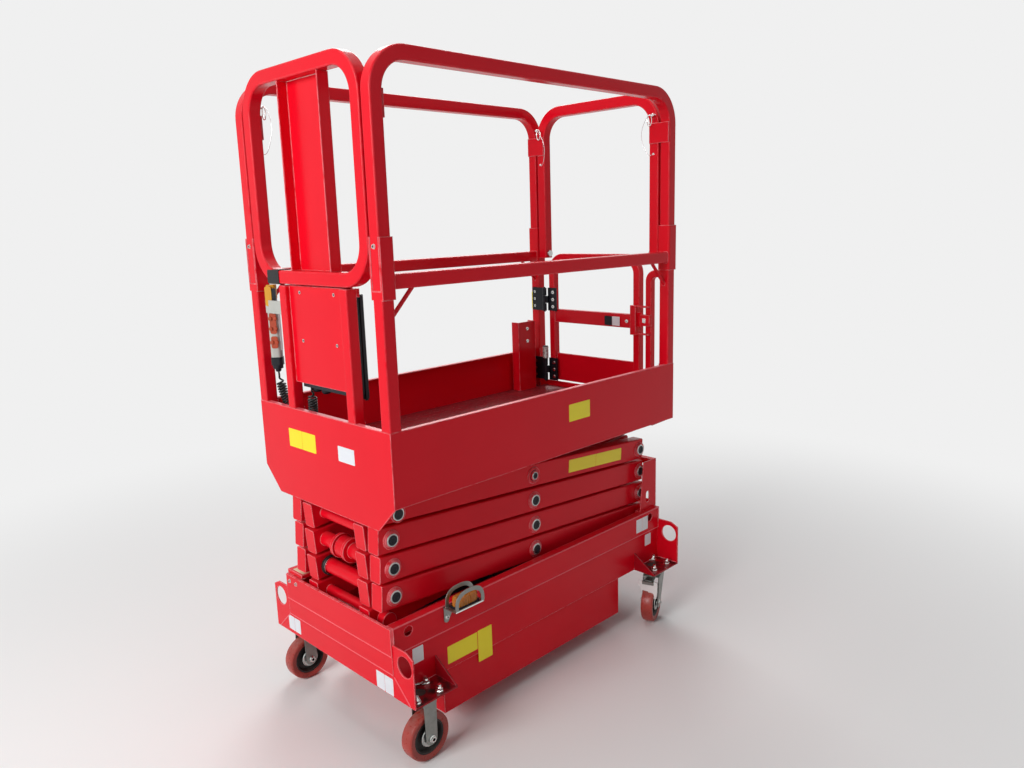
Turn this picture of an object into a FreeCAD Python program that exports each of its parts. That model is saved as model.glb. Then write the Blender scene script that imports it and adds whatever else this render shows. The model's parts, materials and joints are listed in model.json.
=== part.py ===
import FreeCAD, Part
import math
import os

# Push around scissor lift with four scissor levels, stored lowered.
# Millimetres, +X towards the gate and the swivel casters, +Y to the far side, +Z up.
# The origin is on the floor under the middle of the machine.

V = FreeCAD.Vector
X_AXIS, Y_AXIS, Z_AXIS = V(1, 0, 0), V(0, 1, 0), V(0, 0, 1)
SIDES = (-1, 1)
RUN_FIT = 0.4
SEAT_GAP = 0.3

# Sizes that drive the others
CHASSIS_HALF_LENGTH = 660.0
CHASSIS_HALF_WIDTH = 288.0
WING_REACH = 92.0
TRAY_OVERHANG_X = 5.0
TRAY_OVERHANG_Y = 59.0
RAIL_TOP_Z = 424.0
LEVELS = 4
ARM_DEPTH = 80.0
ARM_WIDTH = 50.0

# Chassis
SHEET = 4.0
END_PLATE = 5.0
RAIL_BOTTOM_Z = RAIL_TOP_Z - 86
RAIL_FLANGE = 30.0
BODY_BOTTOM_Z = 207.0
LOWER_BODY_INSET = 3.0
WING_HALF_WIDTH = CHASSIS_HALF_WIDTH + WING_REACH
WING_TOP_Z = RAIL_TOP_Z - 49
WING_CHAMFER = 30.0
LASHING_EYE_Y = WING_HALF_WIDTH - 40
LASHING_EYE_Z = WING_TOP_Z - 49
LASHING_EYE_R = 32.0
CASTER_DECK_T = 6.0
CASTER_DECK_X = CHASSIS_HALF_LENGTH - 160
GUSSET_RISE = 69.0
SKIRT_START_X = 187 - CHASSIS_HALF_LENGTH
SKIRT_END_X = CHASSIS_HALF_LENGTH - 255
SKIRT_BOTTOM_Z = 63.0
RAIL_HOLE_R = 15.0
RAIL_HOLE_X = CHASSIS_HALF_LENGTH - 60
RAIL_HOLE_Z = RAIL_TOP_Z - 28
HOUSING_GAP = 53.0
# Distance of each housing's start from the tub's front end, its length, half width and height
HOUSINGS = {"battery": (HOUSING_GAP, 330.0, 190.0, 233.0),
            "power pack": (HOUSING_GAP + 400, 350.0, 150.0, 223.0)}

# Corner bracket and warning lamp
BRACKET_LENGTH = 64.0
BRACKET_WIDTH = 86.0
BRACKET_HEIGHT = 14.0
LAMP_X = 252 - CHASSIS_HALF_LENGTH
LAMP_REACH = 34.0
LAMP_PLATE_Z = RAIL_TOP_Z - 22
LAMP_PLATE_T = 4.0
LAMP_LENS_R = 16.0
LAMP_LENS_LENGTH = 84.0
LAMP_LENS_HEIGHT = 44.0
CAGE_LENGTH = 118.0
CAGE_HEIGHT = 72.0
CAGE_SPACING = 46.0
CAGE_BAR = 7.0
CAGE_BEND_R = 36.0
LAMP_TAB = (26.0, 44.0)

# Casters
WHEEL_R = 75.0
WHEEL_WIDTH = 46.0
WHEEL_CROWN = 4.0
HUB_R = 20.0
HUB_WIDTH = 54.0
AXLE_R = 6.0
CASTER_Y = WING_HALF_WIDTH - 52
FIXED_CASTER_X = 70 - CHASSIS_HALF_LENGTH
SWIVEL_X = CHASSIS_HALF_LENGTH - 77
SWIVEL_Y = WING_HALF_WIDTH - 60
SWIVEL_TRAIL = 40.0
SWIVEL_ANGLE = 20.0
FORK_WALL = 4.0
FORK_SIDE_GAP = 3.5
FORK_TOP_Z = BODY_BOTTOM_Z - 25
CASTER_PLATE_T = 5.0
CASTER_PLATE_LENGTH = 110.0
CASTER_PLATE_WIDTH = 86.0
RACE_R = 38.0

# Scissor stack
PIVOT_X = CHASSIS_HALF_LENGTH - 58
BASE_PIVOT_Z = RAIL_TOP_Z - 25
LEVEL_PITCH = ARM_DEPTH + 8
ARM_EDGE_R = 6.0
INNER_ARM_Y = CHASSIS_HALF_WIDTH - 148
OUTER_ARM_Y = INNER_ARM_Y + ARM_WIDTH + 18
FREE_END_OVERHANG = 45.0
FIXED_END_OVERHANG = 22.0
PIN_R = 20.0
PIN_STAND_OUT = 9.0
BOSS_R = 28.0
BOSS_T = 4.0
CROSS_TUBE_R = 24.0
SLIM_TUBE_R = 17.0
ROLLER_R = 25.0
ROLLER_WIDTH = 30.0
PLATFORM_ROLLER_Y = OUTER_ARM_Y + ARM_WIDTH / 2 + ROLLER_WIDTH / 2 + 14
CHASSIS_ROLLER_Y = INNER_ARM_Y + ARM_WIDTH / 2 + ROLLER_WIDTH / 2 + 7
TRACK_T = 8.0
TRACK_END_X = 510 - CHASSIS_HALF_LENGTH

# Lift cylinder
BARREL_SHARE = 0.75
BARREL_R = 38.0
ROD_R = 22.5
BARREL_TAIL = 52.0
BARREL_EYE_R = 33.0
BARREL_LENGTH = 140 + CHASSIS_HALF_LENGTH
BARREL_PIN_R = 20.0
ROD_BURIED = 420.0
EYE_R = 34.0
EYE_WIDTH = 40.0
EAR_T = 12.0
EAR_GAP = 4.0
EAR_R = 40.0

UPPER_Z = BASE_PIVOT_Z + LEVELS * LEVEL_PITCH
ARM_LENGTH = math.hypot(2 * PIVOT_X, LEVEL_PITCH)
REST_ANGLE = math.degrees(math.atan2(LEVEL_PITCH, 2 * PIVOT_X))

# Platform tray
TRAY_HALF_LENGTH = CHASSIS_HALF_LENGTH + TRAY_OVERHANG_X
TRAY_HALF_WIDTH = CHASSIS_HALF_WIDTH + TRAY_OVERHANG_Y
DECK_TOP_Z = UPPER_Z + 99
DECK_T = 12.0
TRAY_TOP_Z = DECK_TOP_Z + 160
TRAY_BOTTOM_Z = DECK_TOP_Z - 55
TRAY_APRON_Z = TRAY_BOTTOM_Z - 79
REAR_APRON_Z = TRAY_BOTTOM_Z - 45
REAR_CHAMFER = 90
TRAY_CHAMFER = 80.0
TRAY_RIM = 16.0
SILL_TOP_Z = DECK_TOP_Z + 22

# Guard rails
RAIL_TUBE = 40.0
RAIL_EDGE_R = 5.0
GUARD_TOP_Z = DECK_TOP_Z + 1148
BEND_R = 100.0
SLEEVE_TUBE = 50.0
MID_RAIL_Z = DECK_TOP_Z + 558
POST_TOP_Z = MID_RAIL_Z - 23
SLEEVE_BOTTOM_Z = POST_TOP_Z - 23
SLEEVE_TOP_Z = POST_TOP_Z + 139
BRACE_R = 6.0
BRACE_FOOT_Z = MID_RAIL_Z - 97
BRACE_REACH = 74.0
END_FRAME_Y = TRAY_HALF_WIDTH - 1.5 * RAIL_TUBE - 8
FRONT_LOOP_BOTTOM_Z = POST_TOP_Z + 5
LOOP_HINGE_X = RAIL_TUBE + 6 - TRAY_HALF_LENGTH
LOOP_HINGE_RISE = 8.0
REAR_PIVOT_Z = MID_RAIL_Z + 10
REAR_LEG_BOTTOM_Z = REAR_PIVOT_Z - 18
PIVOT_PIN_R = 8.0
LOCK_PLATE_DROP = 148.0
LOCK_PLATE_HEIGHT = 70.0
LOCK_PLATE_WIDTH = 105.0
LOCK_PLATE_T = 4.0

# Front panel and controls
PANEL_POST = 36.0
PANEL_POST_Y = (158.0, -164.0)
PANEL_TOP_Z = FRONT_LOOP_BOTTOM_Z - 5
PANEL_BOTTOM_Z = PANEL_TOP_Z - 293
PANEL_T = 4.0
COLUMN_WIDTH = 210.0
COLUMN_DEPTH = 36.0
COLUMN_Y = -8.0
HINGE_BAR = 24.0
BOX_DEPTH = 38.0
BOX_WIDTH = 130.0
BOX_BOTTOM_Z = PANEL_BOTTOM_Z + 4
BOX_TOP_Z = PANEL_TOP_Z - HINGE_BAR - 3
PENDANT_Y = PANEL_POST_Y[0] + 84
PENDANT_X = 37 - TRAY_HALF_LENGTH
PENDANT_TOP_Z = PANEL_TOP_Z - 9
PENDANT_BOTTOM_Z = PENDANT_TOP_Z - 251
PENDANT_WIDTH = 66.0
PENDANT_DEPTH = 50.0
CLIP_HEIGHT = 40.0
CURL_R = 14.0

# Stub bracket
STUB_X = TRAY_HALF_LENGTH - 185
STUB_LENGTH = 100.0
STUB_DEPTH = 40.0
STUB_HEIGHT = 290.0

# Gate
GATE_TUBE = 30.0
GATE_HINGE_X = TRAY_HALF_LENGTH - 52
GATE_HINGE_Y = END_FRAME_Y - 17
GATE_Y = (GATE_HINGE_Y - 475, GATE_HINGE_Y - 10)
GATE_TOP_Z = MID_RAIL_Z + 10
GATE_BOTTOM_Z = DECK_TOP_Z + 34
GATE_TOE_TOP_Z = DECK_TOP_Z + 150
GATE_BAR_Z = DECK_TOP_Z + 310
GATE_BAR_HEIGHT = 54.0
GATE_BEND_R = 60.0
LATCH_LENGTH = 114.0
HINGE_HEIGHT = 96.0
HINGE_Z = (DECK_TOP_Z + 378, DECK_TOP_Z + 80)
HINGE_LEAF_T = 5.0
HINGE_BARREL_R = 9.0
HINGE_SPRING_HEIGHT = 52.0
GATE_POST_TOP_Z = SLEEVE_BOTTOM_Z - 2
GATE_POST_TUBE = 27.0
GATE_POST_Y = GATE_Y[0] - 40

# Entry step
STEP_CHEEK_X = (CHASSIS_HALF_LENGTH - 100, CHASSIS_HALF_LENGTH + 5)
STEP_CHEEK_TOP_X = STEP_CHEEK_X[0] + 24
STEP_HEIGHT = 196.0
STEP_RUNG_DEPTH = 25.0
STEP_SLOT_R = 10.0
STEP_SLOT_RISE = (38.0, 64.0)


def box(x0, x1, y0, y1, z0, z1):
    """Solid box between two corners given as low and high values."""
    return Part.makeBox(x1 - x0, y1 - y0, z1 - z0, V(x0, y0, z0))


def rod(radius, start, direction, length):
    """Round bar from a point along a direction."""
    return Part.makeCylinder(radius, length, start, direction)


def fuse(shapes):
    """One clean solid from shapes that touch or overlap."""
    shapes = list(shapes)
    whole = shapes[0].fuse(shapes[1:]) if len(shapes) > 1 else shapes[0]
    return whole.removeSplitter()


def prism(points, push):
    """Straight extrusion of a closed outline."""
    face = Part.Face(Part.makePolygon(list(points) + [points[0]]))
    return face.extrude(push)


def mirror_y(shape):
    """Copy on the other side of the machine."""
    return shape.mirror(V(0, 0, 0), Y_AXIS)


def section(centre, along, across, width, height, radius):
    """Rounded rectangle face square to a tube's run."""
    up = along.cross(across)
    corners = [(1, 1), (-1, 1), (-1, -1), (1, -1)]
    edges = []
    half_w, half_h = width / 2, height / 2
    diagonal = radius * (1 - math.sqrt(0.5))

    def at(a, b):
        return centre + across * a + up * b

    for index, (sa, sb) in enumerate(corners):
        flat_a = at(sa * half_w, sb * (half_h - radius))
        flat_b = at(sa * (half_w - radius), sb * half_h)
        middle = at(sa * (half_w - diagonal), sb * (half_h - diagonal))
        first, last = (flat_a, flat_b) if index % 2 == 0 else (flat_b, flat_a)
        edges.append(Part.Arc(first, middle, last).toShape())
        na, nb = corners[(index + 1) % 4]
        if index % 2 == 0:
            following = at(na * (half_w - radius), nb * half_h)
        else:
            following = at(na * half_w, nb * (half_h - radius))
        edges.append(Part.LineSegment(last, following).toShape())
    return Part.Face(Part.Wire(edges))


def tube_path(points, width, height, edge, bend, normal):
    """Rectangular tube along a flat path whose corners are bent to a radius."""
    solids = []
    start = points[0]
    for index in range(len(points) - 1):
        here, following = points[index], points[index + 1]
        along = (following - here).normalize()
        face = section(start, along, normal, width, height, edge)
        if index + 2 < len(points):
            onward = (points[index + 2] - following).normalize()
            turn = along.getAngle(onward)
            setback = bend * math.tan(turn / 2)
            stop = following - along * setback
            solids.append(face.extrude(stop - start))
            inward = (onward - along * along.dot(onward)).normalize()
            centre = stop + inward * bend
            axis = along.cross(inward)
            corner = section(stop, along, normal, width, height, edge)
            solids.append(corner.revolve(centre, axis, math.degrees(turn)))
            start = following + onward * setback
        else:
            solids.append(face.extrude(following - start))
    return fuse(solids)


def square_tube(points, normal, size=RAIL_TUBE, bend=BEND_R):
    """Square rail tube with the guard rails' own corner radius."""
    return tube_path(points, size, size, RAIL_EDGE_R, bend, normal)


# Chassis pieces

def end_plate(x0, x1):
    """Full width end plate with a wing and lashing eye on each side."""
    half, wing = CHASSIS_HALF_WIDTH, WING_HALF_WIDTH
    outline = [(half, RAIL_TOP_Z), (half, WING_TOP_Z), (wing - WING_CHAMFER, WING_TOP_Z),
               (wing, WING_TOP_Z - WING_CHAMFER / 2), (wing, BODY_BOTTOM_Z)]
    full = outline + [(-y, z) for y, z in reversed(outline)]
    plate = prism([V(x0, y, z) for y, z in full], V(x1 - x0, 0, 0))
    for side in SIDES:
        plate = plate.cut(rod(LASHING_EYE_R, V(x0 - 1, side * LASHING_EYE_Y, LASHING_EYE_Z), X_AXIS, x1 - x0 + 2))
    return plate


def chassis_end_plates():
    length = CHASSIS_HALF_LENGTH
    return [end_plate(-length, -length + END_PLATE), end_plate(length - END_PLATE, length)]


def side_profile():
    """Ring beam channel above a lower sheet set back behind it, for the far side."""
    inner_x = CHASSIS_HALF_LENGTH - END_PLATE
    face_y = CHASSIS_HALF_WIDTH
    flange_y = face_y - RAIL_FLANGE
    web = box(-inner_x, inner_x, face_y - SHEET, face_y, RAIL_BOTTOM_Z, RAIL_TOP_Z)
    top = box(-inner_x, inner_x, flange_y, face_y, RAIL_TOP_Z - SHEET, RAIL_TOP_Z)
    bottom = box(-inner_x, inner_x, flange_y, face_y, RAIL_BOTTOM_Z, RAIL_BOTTOM_Z + SHEET)
    low_y = face_y - LOWER_BODY_INSET
    sheet = box(-inner_x, inner_x, low_y - SHEET, low_y, BODY_BOTTOM_Z, RAIL_BOTTOM_Z)
    beam = fuse([web, top, bottom, sheet])
    for end in SIDES:
        hole = rod(RAIL_HOLE_R, V(end * RAIL_HOLE_X, face_y - 2 * SHEET, RAIL_HOLE_Z), Y_AXIS, 4 * SHEET)
        beam = beam.cut(hole)
    return beam


def chassis_sides():
    far = side_profile()
    return [far, mirror_y(far)]


def caster_decks():
    """Flat caster seats under the wings, each with a sloping gusset."""
    pieces = []
    inner_y = CHASSIS_HALF_WIDTH - LOWER_BODY_INSET
    outer_x = CHASSIS_HALF_LENGTH - END_PLATE
    for end in SIDES:
        for side in SIDES:
            y_lo, y_hi = sorted((side * inner_y, side * WING_HALF_WIDTH))
            x_lo, x_hi = sorted((end * CASTER_DECK_X, end * outer_x))
            deck = box(x_lo, x_hi, y_lo, y_hi, BODY_BOTTOM_Z, BODY_BOTTOM_Z + CASTER_DECK_T)
            outline = [V(end * CASTER_DECK_X, side * inner_y, BODY_BOTTOM_Z),
                       V(end * CASTER_DECK_X, side * WING_HALF_WIDTH, BODY_BOTTOM_Z),
                       V(end * CASTER_DECK_X, side * WING_HALF_WIDTH, BODY_BOTTOM_Z + CASTER_DECK_T),
                       V(end * CASTER_DECK_X, side * inner_y, BODY_BOTTOM_Z + GUSSET_RISE)]
            gusset = prism(outline, V(end * END_PLATE, 0, 0))
            pieces.append(fuse([deck, gusset]))
    return pieces


def belly_skirt():
    """Open topped belly tub under the chassis."""
    y = CHASSIS_HALF_WIDTH - LOWER_BODY_INSET - SHEET - SEAT_GAP
    outer = box(SKIRT_START_X, SKIRT_END_X, -y, y, SKIRT_BOTTOM_Z, BODY_BOTTOM_Z + 20)
    inner = box(SKIRT_START_X + SHEET, SKIRT_END_X - SHEET, -y + SHEET, y - SHEET,
                SKIRT_BOTTOM_Z + SHEET, BODY_BOTTOM_Z + 30)
    return [outer.cut(inner)]


def battery_and_pump():
    """Closed housings standing on the tub's floor."""
    floor = SKIRT_BOTTOM_Z + SHEET
    pieces = []
    for start, length, half_width, height in HOUSINGS.values():
        x0 = SKIRT_START_X + start
        pieces.append(box(x0, x0 + length, -half_width, half_width, floor, floor + height))
    return pieces


def slide_tracks():
    """Shelf that the lowest rollers run on and the block of the fixed pivots."""
    pieces = []
    shelf_top = BASE_PIVOT_Z - ROLLER_R - SEAT_GAP
    inner_y = CHASSIS_ROLLER_Y - ROLLER_WIDTH / 2
    sheet_y = CHASSIS_HALF_WIDTH - LOWER_BODY_INSET - SHEET
    web_y = CHASSIS_HALF_WIDTH - RAIL_FLANGE
    end_x = CHASSIS_HALF_LENGTH - END_PLATE
    shelf = fuse([box(-end_x, TRACK_END_X, inner_y, web_y, shelf_top - TRACK_T, shelf_top),
                  box(-end_x, TRACK_END_X, web_y - TRACK_T, web_y, RAIL_BOTTOM_Z - 40, shelf_top),
                  box(-end_x, TRACK_END_X, web_y - TRACK_T, sheet_y, RAIL_BOTTOM_Z - 40, RAIL_BOTTOM_Z - 32)])
    pin_start = OUTER_ARM_Y - ARM_WIDTH / 2 - 8
    block_y = OUTER_ARM_Y + ARM_WIDTH / 2 + 8
    block = fuse([box(PIVOT_X - 34, PIVOT_X + 34, block_y, web_y, RAIL_BOTTOM_Z - 60, RAIL_TOP_Z - 2),
                  box(PIVOT_X - 34, PIVOT_X + 34, web_y - 6, sheet_y, RAIL_BOTTOM_Z - 60, RAIL_BOTTOM_Z - 20),
                  rod(PIN_R, V(PIVOT_X, pin_start, BASE_PIVOT_Z), Y_AXIS, block_y - pin_start + 1)])
    for piece in (shelf, block):
        pieces += [piece, mirror_y(piece)]
    return pieces


def entry_step():
    """Two cheeks with an oval slot, joined by a tread at the outer end."""
    x0, x1 = STEP_CHEEK_X
    top_z = RAIL_TOP_Z + STEP_HEIGHT
    slot_x = (x0 + x1) / 2 - 3
    slot_low, slot_high = (RAIL_TOP_Z + rise for rise in STEP_SLOT_RISE)
    pieces = []
    inner_y = CHASSIS_HALF_WIDTH - RAIL_FLANGE
    reach = inner_y + 2 * SHEET
    for side in SIDES:
        outline = [V(x0, side * reach, RAIL_TOP_Z), V(x1, side * reach, RAIL_TOP_Z),
                   V(x1, side * reach, top_z), V(STEP_CHEEK_TOP_X, side * reach, top_z)]
        cheek = prism(outline, V(0, side * SHEET, 0))
        slot_y = side * inner_y + min(0, side) * 4 * SHEET
        for level in (slot_low, slot_high):
            cheek = cheek.cut(rod(STEP_SLOT_R, V(slot_x, slot_y, level), Y_AXIS, 4 * SHEET))
        cheek = cheek.cut(box(slot_x - STEP_SLOT_R, slot_x + STEP_SLOT_R, slot_y, slot_y + 4 * SHEET,
                              slot_low, slot_high))
        pieces.append(cheek)
    tread = box(x1 - STEP_RUNG_DEPTH, x1, -reach, reach, top_z - SHEET, top_z)
    lip = box(x1 - SHEET, x1, -reach, reach, top_z - 30, top_z)
    lower = box(x1 - SHEET, x1, -reach, reach, RAIL_TOP_Z, RAIL_TOP_Z + 20)
    return [fuse(pieces + [tread, lip, lower])]


def corner_bracket():
    """Small open bracket bolted to the front plate on the far corner."""
    x0, y1 = END_PLATE - CHASSIS_HALF_LENGTH, CHASSIS_HALF_WIDTH
    y0, x1, top_z = y1 - BRACKET_WIDTH, x0 + BRACKET_LENGTH, RAIL_TOP_Z + BRACKET_HEIGHT
    outer = box(x0, x1, y0, y1, RAIL_TOP_Z, top_z)
    return [outer.cut(box(x0 + SHEET, x1 - SHEET, y0 + SHEET, y1 + 1, RAIL_TOP_Z - 1, top_z - SHEET))]


def lamp_centre_y():
    return -CHASSIS_HALF_WIDTH - LAMP_REACH


def warning_lamp():
    """Long rounded lens standing on its bracket."""
    y, z0 = lamp_centre_y(), LAMP_PLATE_Z + LAMP_PLATE_T
    x0 = LAMP_X - LAMP_LENS_LENGTH / 2
    lens = box(x0, x0 + LAMP_LENS_LENGTH, y - LAMP_LENS_R, y + LAMP_LENS_R, z0, z0 + LAMP_LENS_HEIGHT)
    upper = [e for e in lens.Edges if e.BoundBox.ZMin > z0 + LAMP_LENS_HEIGHT - 1]
    return [lens.makeFillet(LAMP_LENS_R * 0.8, upper)]


def lamp_cage():
    """Two flat hoops over the lens on a bracket bolted to the near rail."""
    y, z0 = lamp_centre_y(), LAMP_PLATE_Z
    half = CAGE_LENGTH / 2
    outer_y = y - CAGE_SPACING / 2 - CAGE_BAR / 2
    web_y = -CHASSIS_HALF_WIDTH
    parts = [box(LAMP_X - half, LAMP_X + half, outer_y, web_y, z0, z0 + LAMP_PLATE_T)]
    for side in SIDES:
        hoop_y = y + side * CAGE_SPACING / 2
        reach, top = half - CAGE_BAR / 2, z0 + CAGE_HEIGHT
        points = [V(LAMP_X - reach, hoop_y, z0 + 1), V(LAMP_X - reach, hoop_y, top),
                  V(LAMP_X + reach, hoop_y, top), V(LAMP_X + reach, hoop_y, z0 + 1)]
        parts.append(tube_path(points, CAGE_BAR, CAGE_BAR, 1.5, CAGE_BEND_R, Y_AXIS))
    width, height = LAMP_TAB
    x0 = LAMP_X - half
    tab = [V(x0, web_y, z0 + LAMP_PLATE_T), V(x0 + width, web_y, z0 + LAMP_PLATE_T),
           V(x0 + width * 0.6, web_y, z0 - height), V(x0 + width * 0.4, web_y, z0 - height)]
    parts.append(prism(tab, V(0, -LAMP_PLATE_T, 0)))
    return [fuse(parts)]


# Casters

def caster_plate(centre_x, centre_y):
    half_l, half_w = CASTER_PLATE_LENGTH / 2, CASTER_PLATE_WIDTH / 2
    return box(centre_x - half_l, centre_x + half_l, centre_y - half_w, centre_y + half_w,
               BODY_BOTTOM_Z - CASTER_PLATE_T, BODY_BOTTOM_Z)


def fork_legs(pivot, axle, crown_top, angle):
    """Two fork cheeks from a crown down to an axle, turned about the vertical."""
    gap = WHEEL_WIDTH / 2 + FORK_SIDE_GAP + 2
    pieces = []
    for side in SIDES:
        y = side * gap
        outline = [V(pivot - 42, y, crown_top), V(pivot + 42, y, crown_top),
                   V(axle + 17, y, WHEEL_R - 6), V(axle + 8, y, WHEEL_R - 18),
                   V(axle - 8, y, WHEEL_R - 18), V(axle - 17, y, WHEEL_R - 6)]
        pieces.append(prism(outline, V(0, side * FORK_WALL, 0)))
    half = gap + FORK_WALL
    pieces.append(box(pivot - 42, pivot + 42, -half, half, crown_top - FORK_WALL, crown_top))
    pieces.append(rod(AXLE_R, V(axle, -half - 5, WHEEL_R), Y_AXIS, 2 * half + 10))
    return pieces


def front_forks():
    pieces = []
    for side in SIDES:
        parts = fork_legs(0, 0, BODY_BOTTOM_Z - CASTER_PLATE_T, 0)
        fork = fuse(parts)
        fork.translate(V(FIXED_CASTER_X, side * CASTER_Y, 0))
        pieces.append(fuse([fork, caster_plate(FIXED_CASTER_X - 5, side * CASTER_Y)]))
    return pieces


def swivel_plates():
    """Fixed plate and race of each swivel caster."""
    pieces = []
    for side in SIDES:
        race_base = FORK_TOP_Z + 8
        race = rod(RACE_R, V(SWIVEL_X, side * SWIVEL_Y, race_base), Z_AXIS,
                   BODY_BOTTOM_Z - CASTER_PLATE_T - race_base)
        pieces.append(fuse([caster_plate(SWIVEL_X, side * SWIVEL_Y), race]))
    return pieces


def swivel_fork(side):
    """Turning fork with its head ring, kingpin nut and brake pedal."""
    parts = fork_legs(0, -SWIVEL_TRAIL, FORK_TOP_Z, 0)
    head = rod(RACE_R - 4, V(0, 0, FORK_TOP_Z - FORK_WALL), Z_AXIS, FORK_WALL + 8 - SEAT_GAP)
    pedal = fuse([box(-78, -38, -16, 16, FORK_TOP_Z - 10, FORK_TOP_Z - FORK_WALL),
                  box(-92, -76, -22, 22, FORK_TOP_Z - 16, FORK_TOP_Z - 4)])
    fork = fuse(parts + [head, pedal])
    fork.rotate(V(0, 0, 0), Z_AXIS, SWIVEL_ANGLE)
    fork.translate(V(SWIVEL_X, side * SWIVEL_Y, 0))
    return [fork]


def wheel_solid():
    """Crowned tread on a core with a bored hub, at the origin with its axle along Y."""
    half, hub = WHEEL_WIDTH / 2, HUB_WIDTH / 2
    bore = AXLE_R + RUN_FIT / 4
    profile = [(bore, -hub), (HUB_R, -hub), (HUB_R, -half + 6), (WHEEL_R - 24, -half + 6),
               (WHEEL_R - 20, -half), (WHEEL_R - WHEEL_CROWN, -half), (WHEEL_R, -half + 10),
               (WHEEL_R, half - 10), (WHEEL_R - WHEEL_CROWN, half), (WHEEL_R - 20, half),
               (WHEEL_R - 24, half - 6), (HUB_R, half - 6), (HUB_R, hub), (bore, hub)]
    points = [V(r, y, 0) for r, y in profile]
    face = Part.Face(Part.makePolygon(points + [points[0]]))
    return face.revolve(V(0, 0, 0), Y_AXIS, 360)


def wheel_at(place, angle):
    wheel = wheel_solid()
    wheel.rotate(V(0, 0, 0), Z_AXIS, angle)
    wheel.translate(place)
    return [wheel]


def swivel_axle(side):
    turn = math.radians(SWIVEL_ANGLE)
    return V(SWIVEL_X - SWIVEL_TRAIL * math.cos(turn), side * SWIVEL_Y - SWIVEL_TRAIL * math.sin(turn), WHEEL_R)


# Scissor arms

def level_z(level):
    return BASE_PIVOT_Z + level * LEVEL_PITCH


def arm_bar(level, rising, centre_y):
    """One arm tube of a level; a rising arm goes up towards +X."""
    low = level_z(level - 1)
    left = V(-PIVOT_X, centre_y, low if rising else low + LEVEL_PITCH)
    right = V(PIVOT_X, centre_y, low + LEVEL_PITCH if rising else low)
    along = (right - left).normalize()
    start = left - along * FREE_END_OVERHANG
    length = ARM_LENGTH + FREE_END_OVERHANG + FIXED_END_OVERHANG
    face = section(start, along, Y_AXIS, ARM_WIDTH, ARM_DEPTH, ARM_EDGE_R)
    return face.extrude(along * length), left, right


def pin_hole(bar, place):
    return bar.cut(rod(PIN_R + RUN_FIT, V(place.x, place.y - ARM_WIDTH, place.z), Y_AXIS, 2 * ARM_WIDTH))


def boss_ring(place, outer_face_y, side):
    y0 = min(side * outer_face_y, side * (outer_face_y + BOSS_T))
    ring = rod(BOSS_R, V(place.x, y0, place.z), Y_AXIS, BOSS_T)
    return ring.cut(rod(PIN_R + RUN_FIT, V(place.x, y0 - 1, place.z), Y_AXIS, BOSS_T + 2))


def outer_arms(level):
    """Outer pair of a level, which falls towards +X, with boss rings at its pivots."""
    pieces = []
    face_y = OUTER_ARM_Y + ARM_WIDTH / 2
    for side in SIDES:
        bar, left, right = arm_bar(level, False, side * OUTER_ARM_Y)
        middle = (left + right) * 0.5
        bosses = [middle]
        bar = pin_hole(bar, middle)
        bar = pin_hole(bar, right)
        if level > 1:
            bosses.append(right)
        if level < LEVELS:
            bar = pin_hole(bar, left)
            bosses.append(left)
        parts = [bar] + [boss_ring(p, face_y, side) for p in bosses]
        if level == LEVELS:
            y0 = min(side * face_y, side * (PLATFORM_ROLLER_Y + ROLLER_WIDTH / 2))
            length = PLATFORM_ROLLER_Y + ROLLER_WIDTH / 2 - face_y
            parts.append(rod(SLIM_TUBE_R - 5, V(left.x, y0, left.z), Y_AXIS, length))
            wheel_y = min(side * (PLATFORM_ROLLER_Y - ROLLER_WIDTH / 2), side * (PLATFORM_ROLLER_Y + ROLLER_WIDTH / 2))
            parts.append(rod(ROLLER_R, V(left.x, wheel_y, left.z), Y_AXIS, ROLLER_WIDTH))
        pieces.append(fuse(parts))
    return pieces


def inner_arms(level):
    """Inner pair of a level, joined by cross tubes, rising towards +X."""
    parts = []
    reach = INNER_ARM_Y - ARM_WIDTH / 2
    for side in SIDES:
        bar, left, right = arm_bar(level, True, side * INNER_ARM_Y)
        if level == LEVELS:
            bar = pin_hole(bar, right)
        parts.append(bar)
    overlap = 4

    def cross(place, radius, y0=-reach - overlap, y1=reach + overlap):
        return rod(radius, V(place.x, y0, place.z), Y_AXIS, y1 - y0)

    if level == 1:
        parts.append(cross(left, SLIM_TUBE_R))
        parts.append(cross(left + (right - left) * BARREL_SHARE, BARREL_PIN_R))
        for side in SIDES:
            outer = CHASSIS_ROLLER_Y + ROLLER_WIDTH / 2
            inner = reach + ARM_WIDTH
            y0 = min(side * inner, side * outer)
            parts.append(rod(SLIM_TUBE_R, V(left.x, y0, left.z), Y_AXIS, outer - inner))
            y1 = min(side * (outer - ROLLER_WIDTH + SEAT_GAP), side * outer)
            parts.append(rod(ROLLER_R, V(left.x, y1, left.z), Y_AXIS, ROLLER_WIDTH - SEAT_GAP))
    elif level == 3:
        ear = EYE_WIDTH / 2 + EAR_GAP
        for side in SIDES:
            y0, y1 = sorted((side * ear, side * (reach + overlap)))
            parts.append(cross(left, CROSS_TUBE_R, y0, y1))
            y0, y1 = sorted((side * ear, side * (ear + EAR_T)))
            parts.append(cross(left, EAR_R, y0, y1))
    else:
        parts.append(cross(left, CROSS_TUBE_R if level == 2 else SLIM_TUBE_R))
    if level < LEVELS:
        parts.append(cross(right, CROSS_TUBE_R))
    else:
        parts.append(cross(left + (right - left) * BARREL_SHARE, SLIM_TUBE_R))
    return [fuse(parts)]


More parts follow.
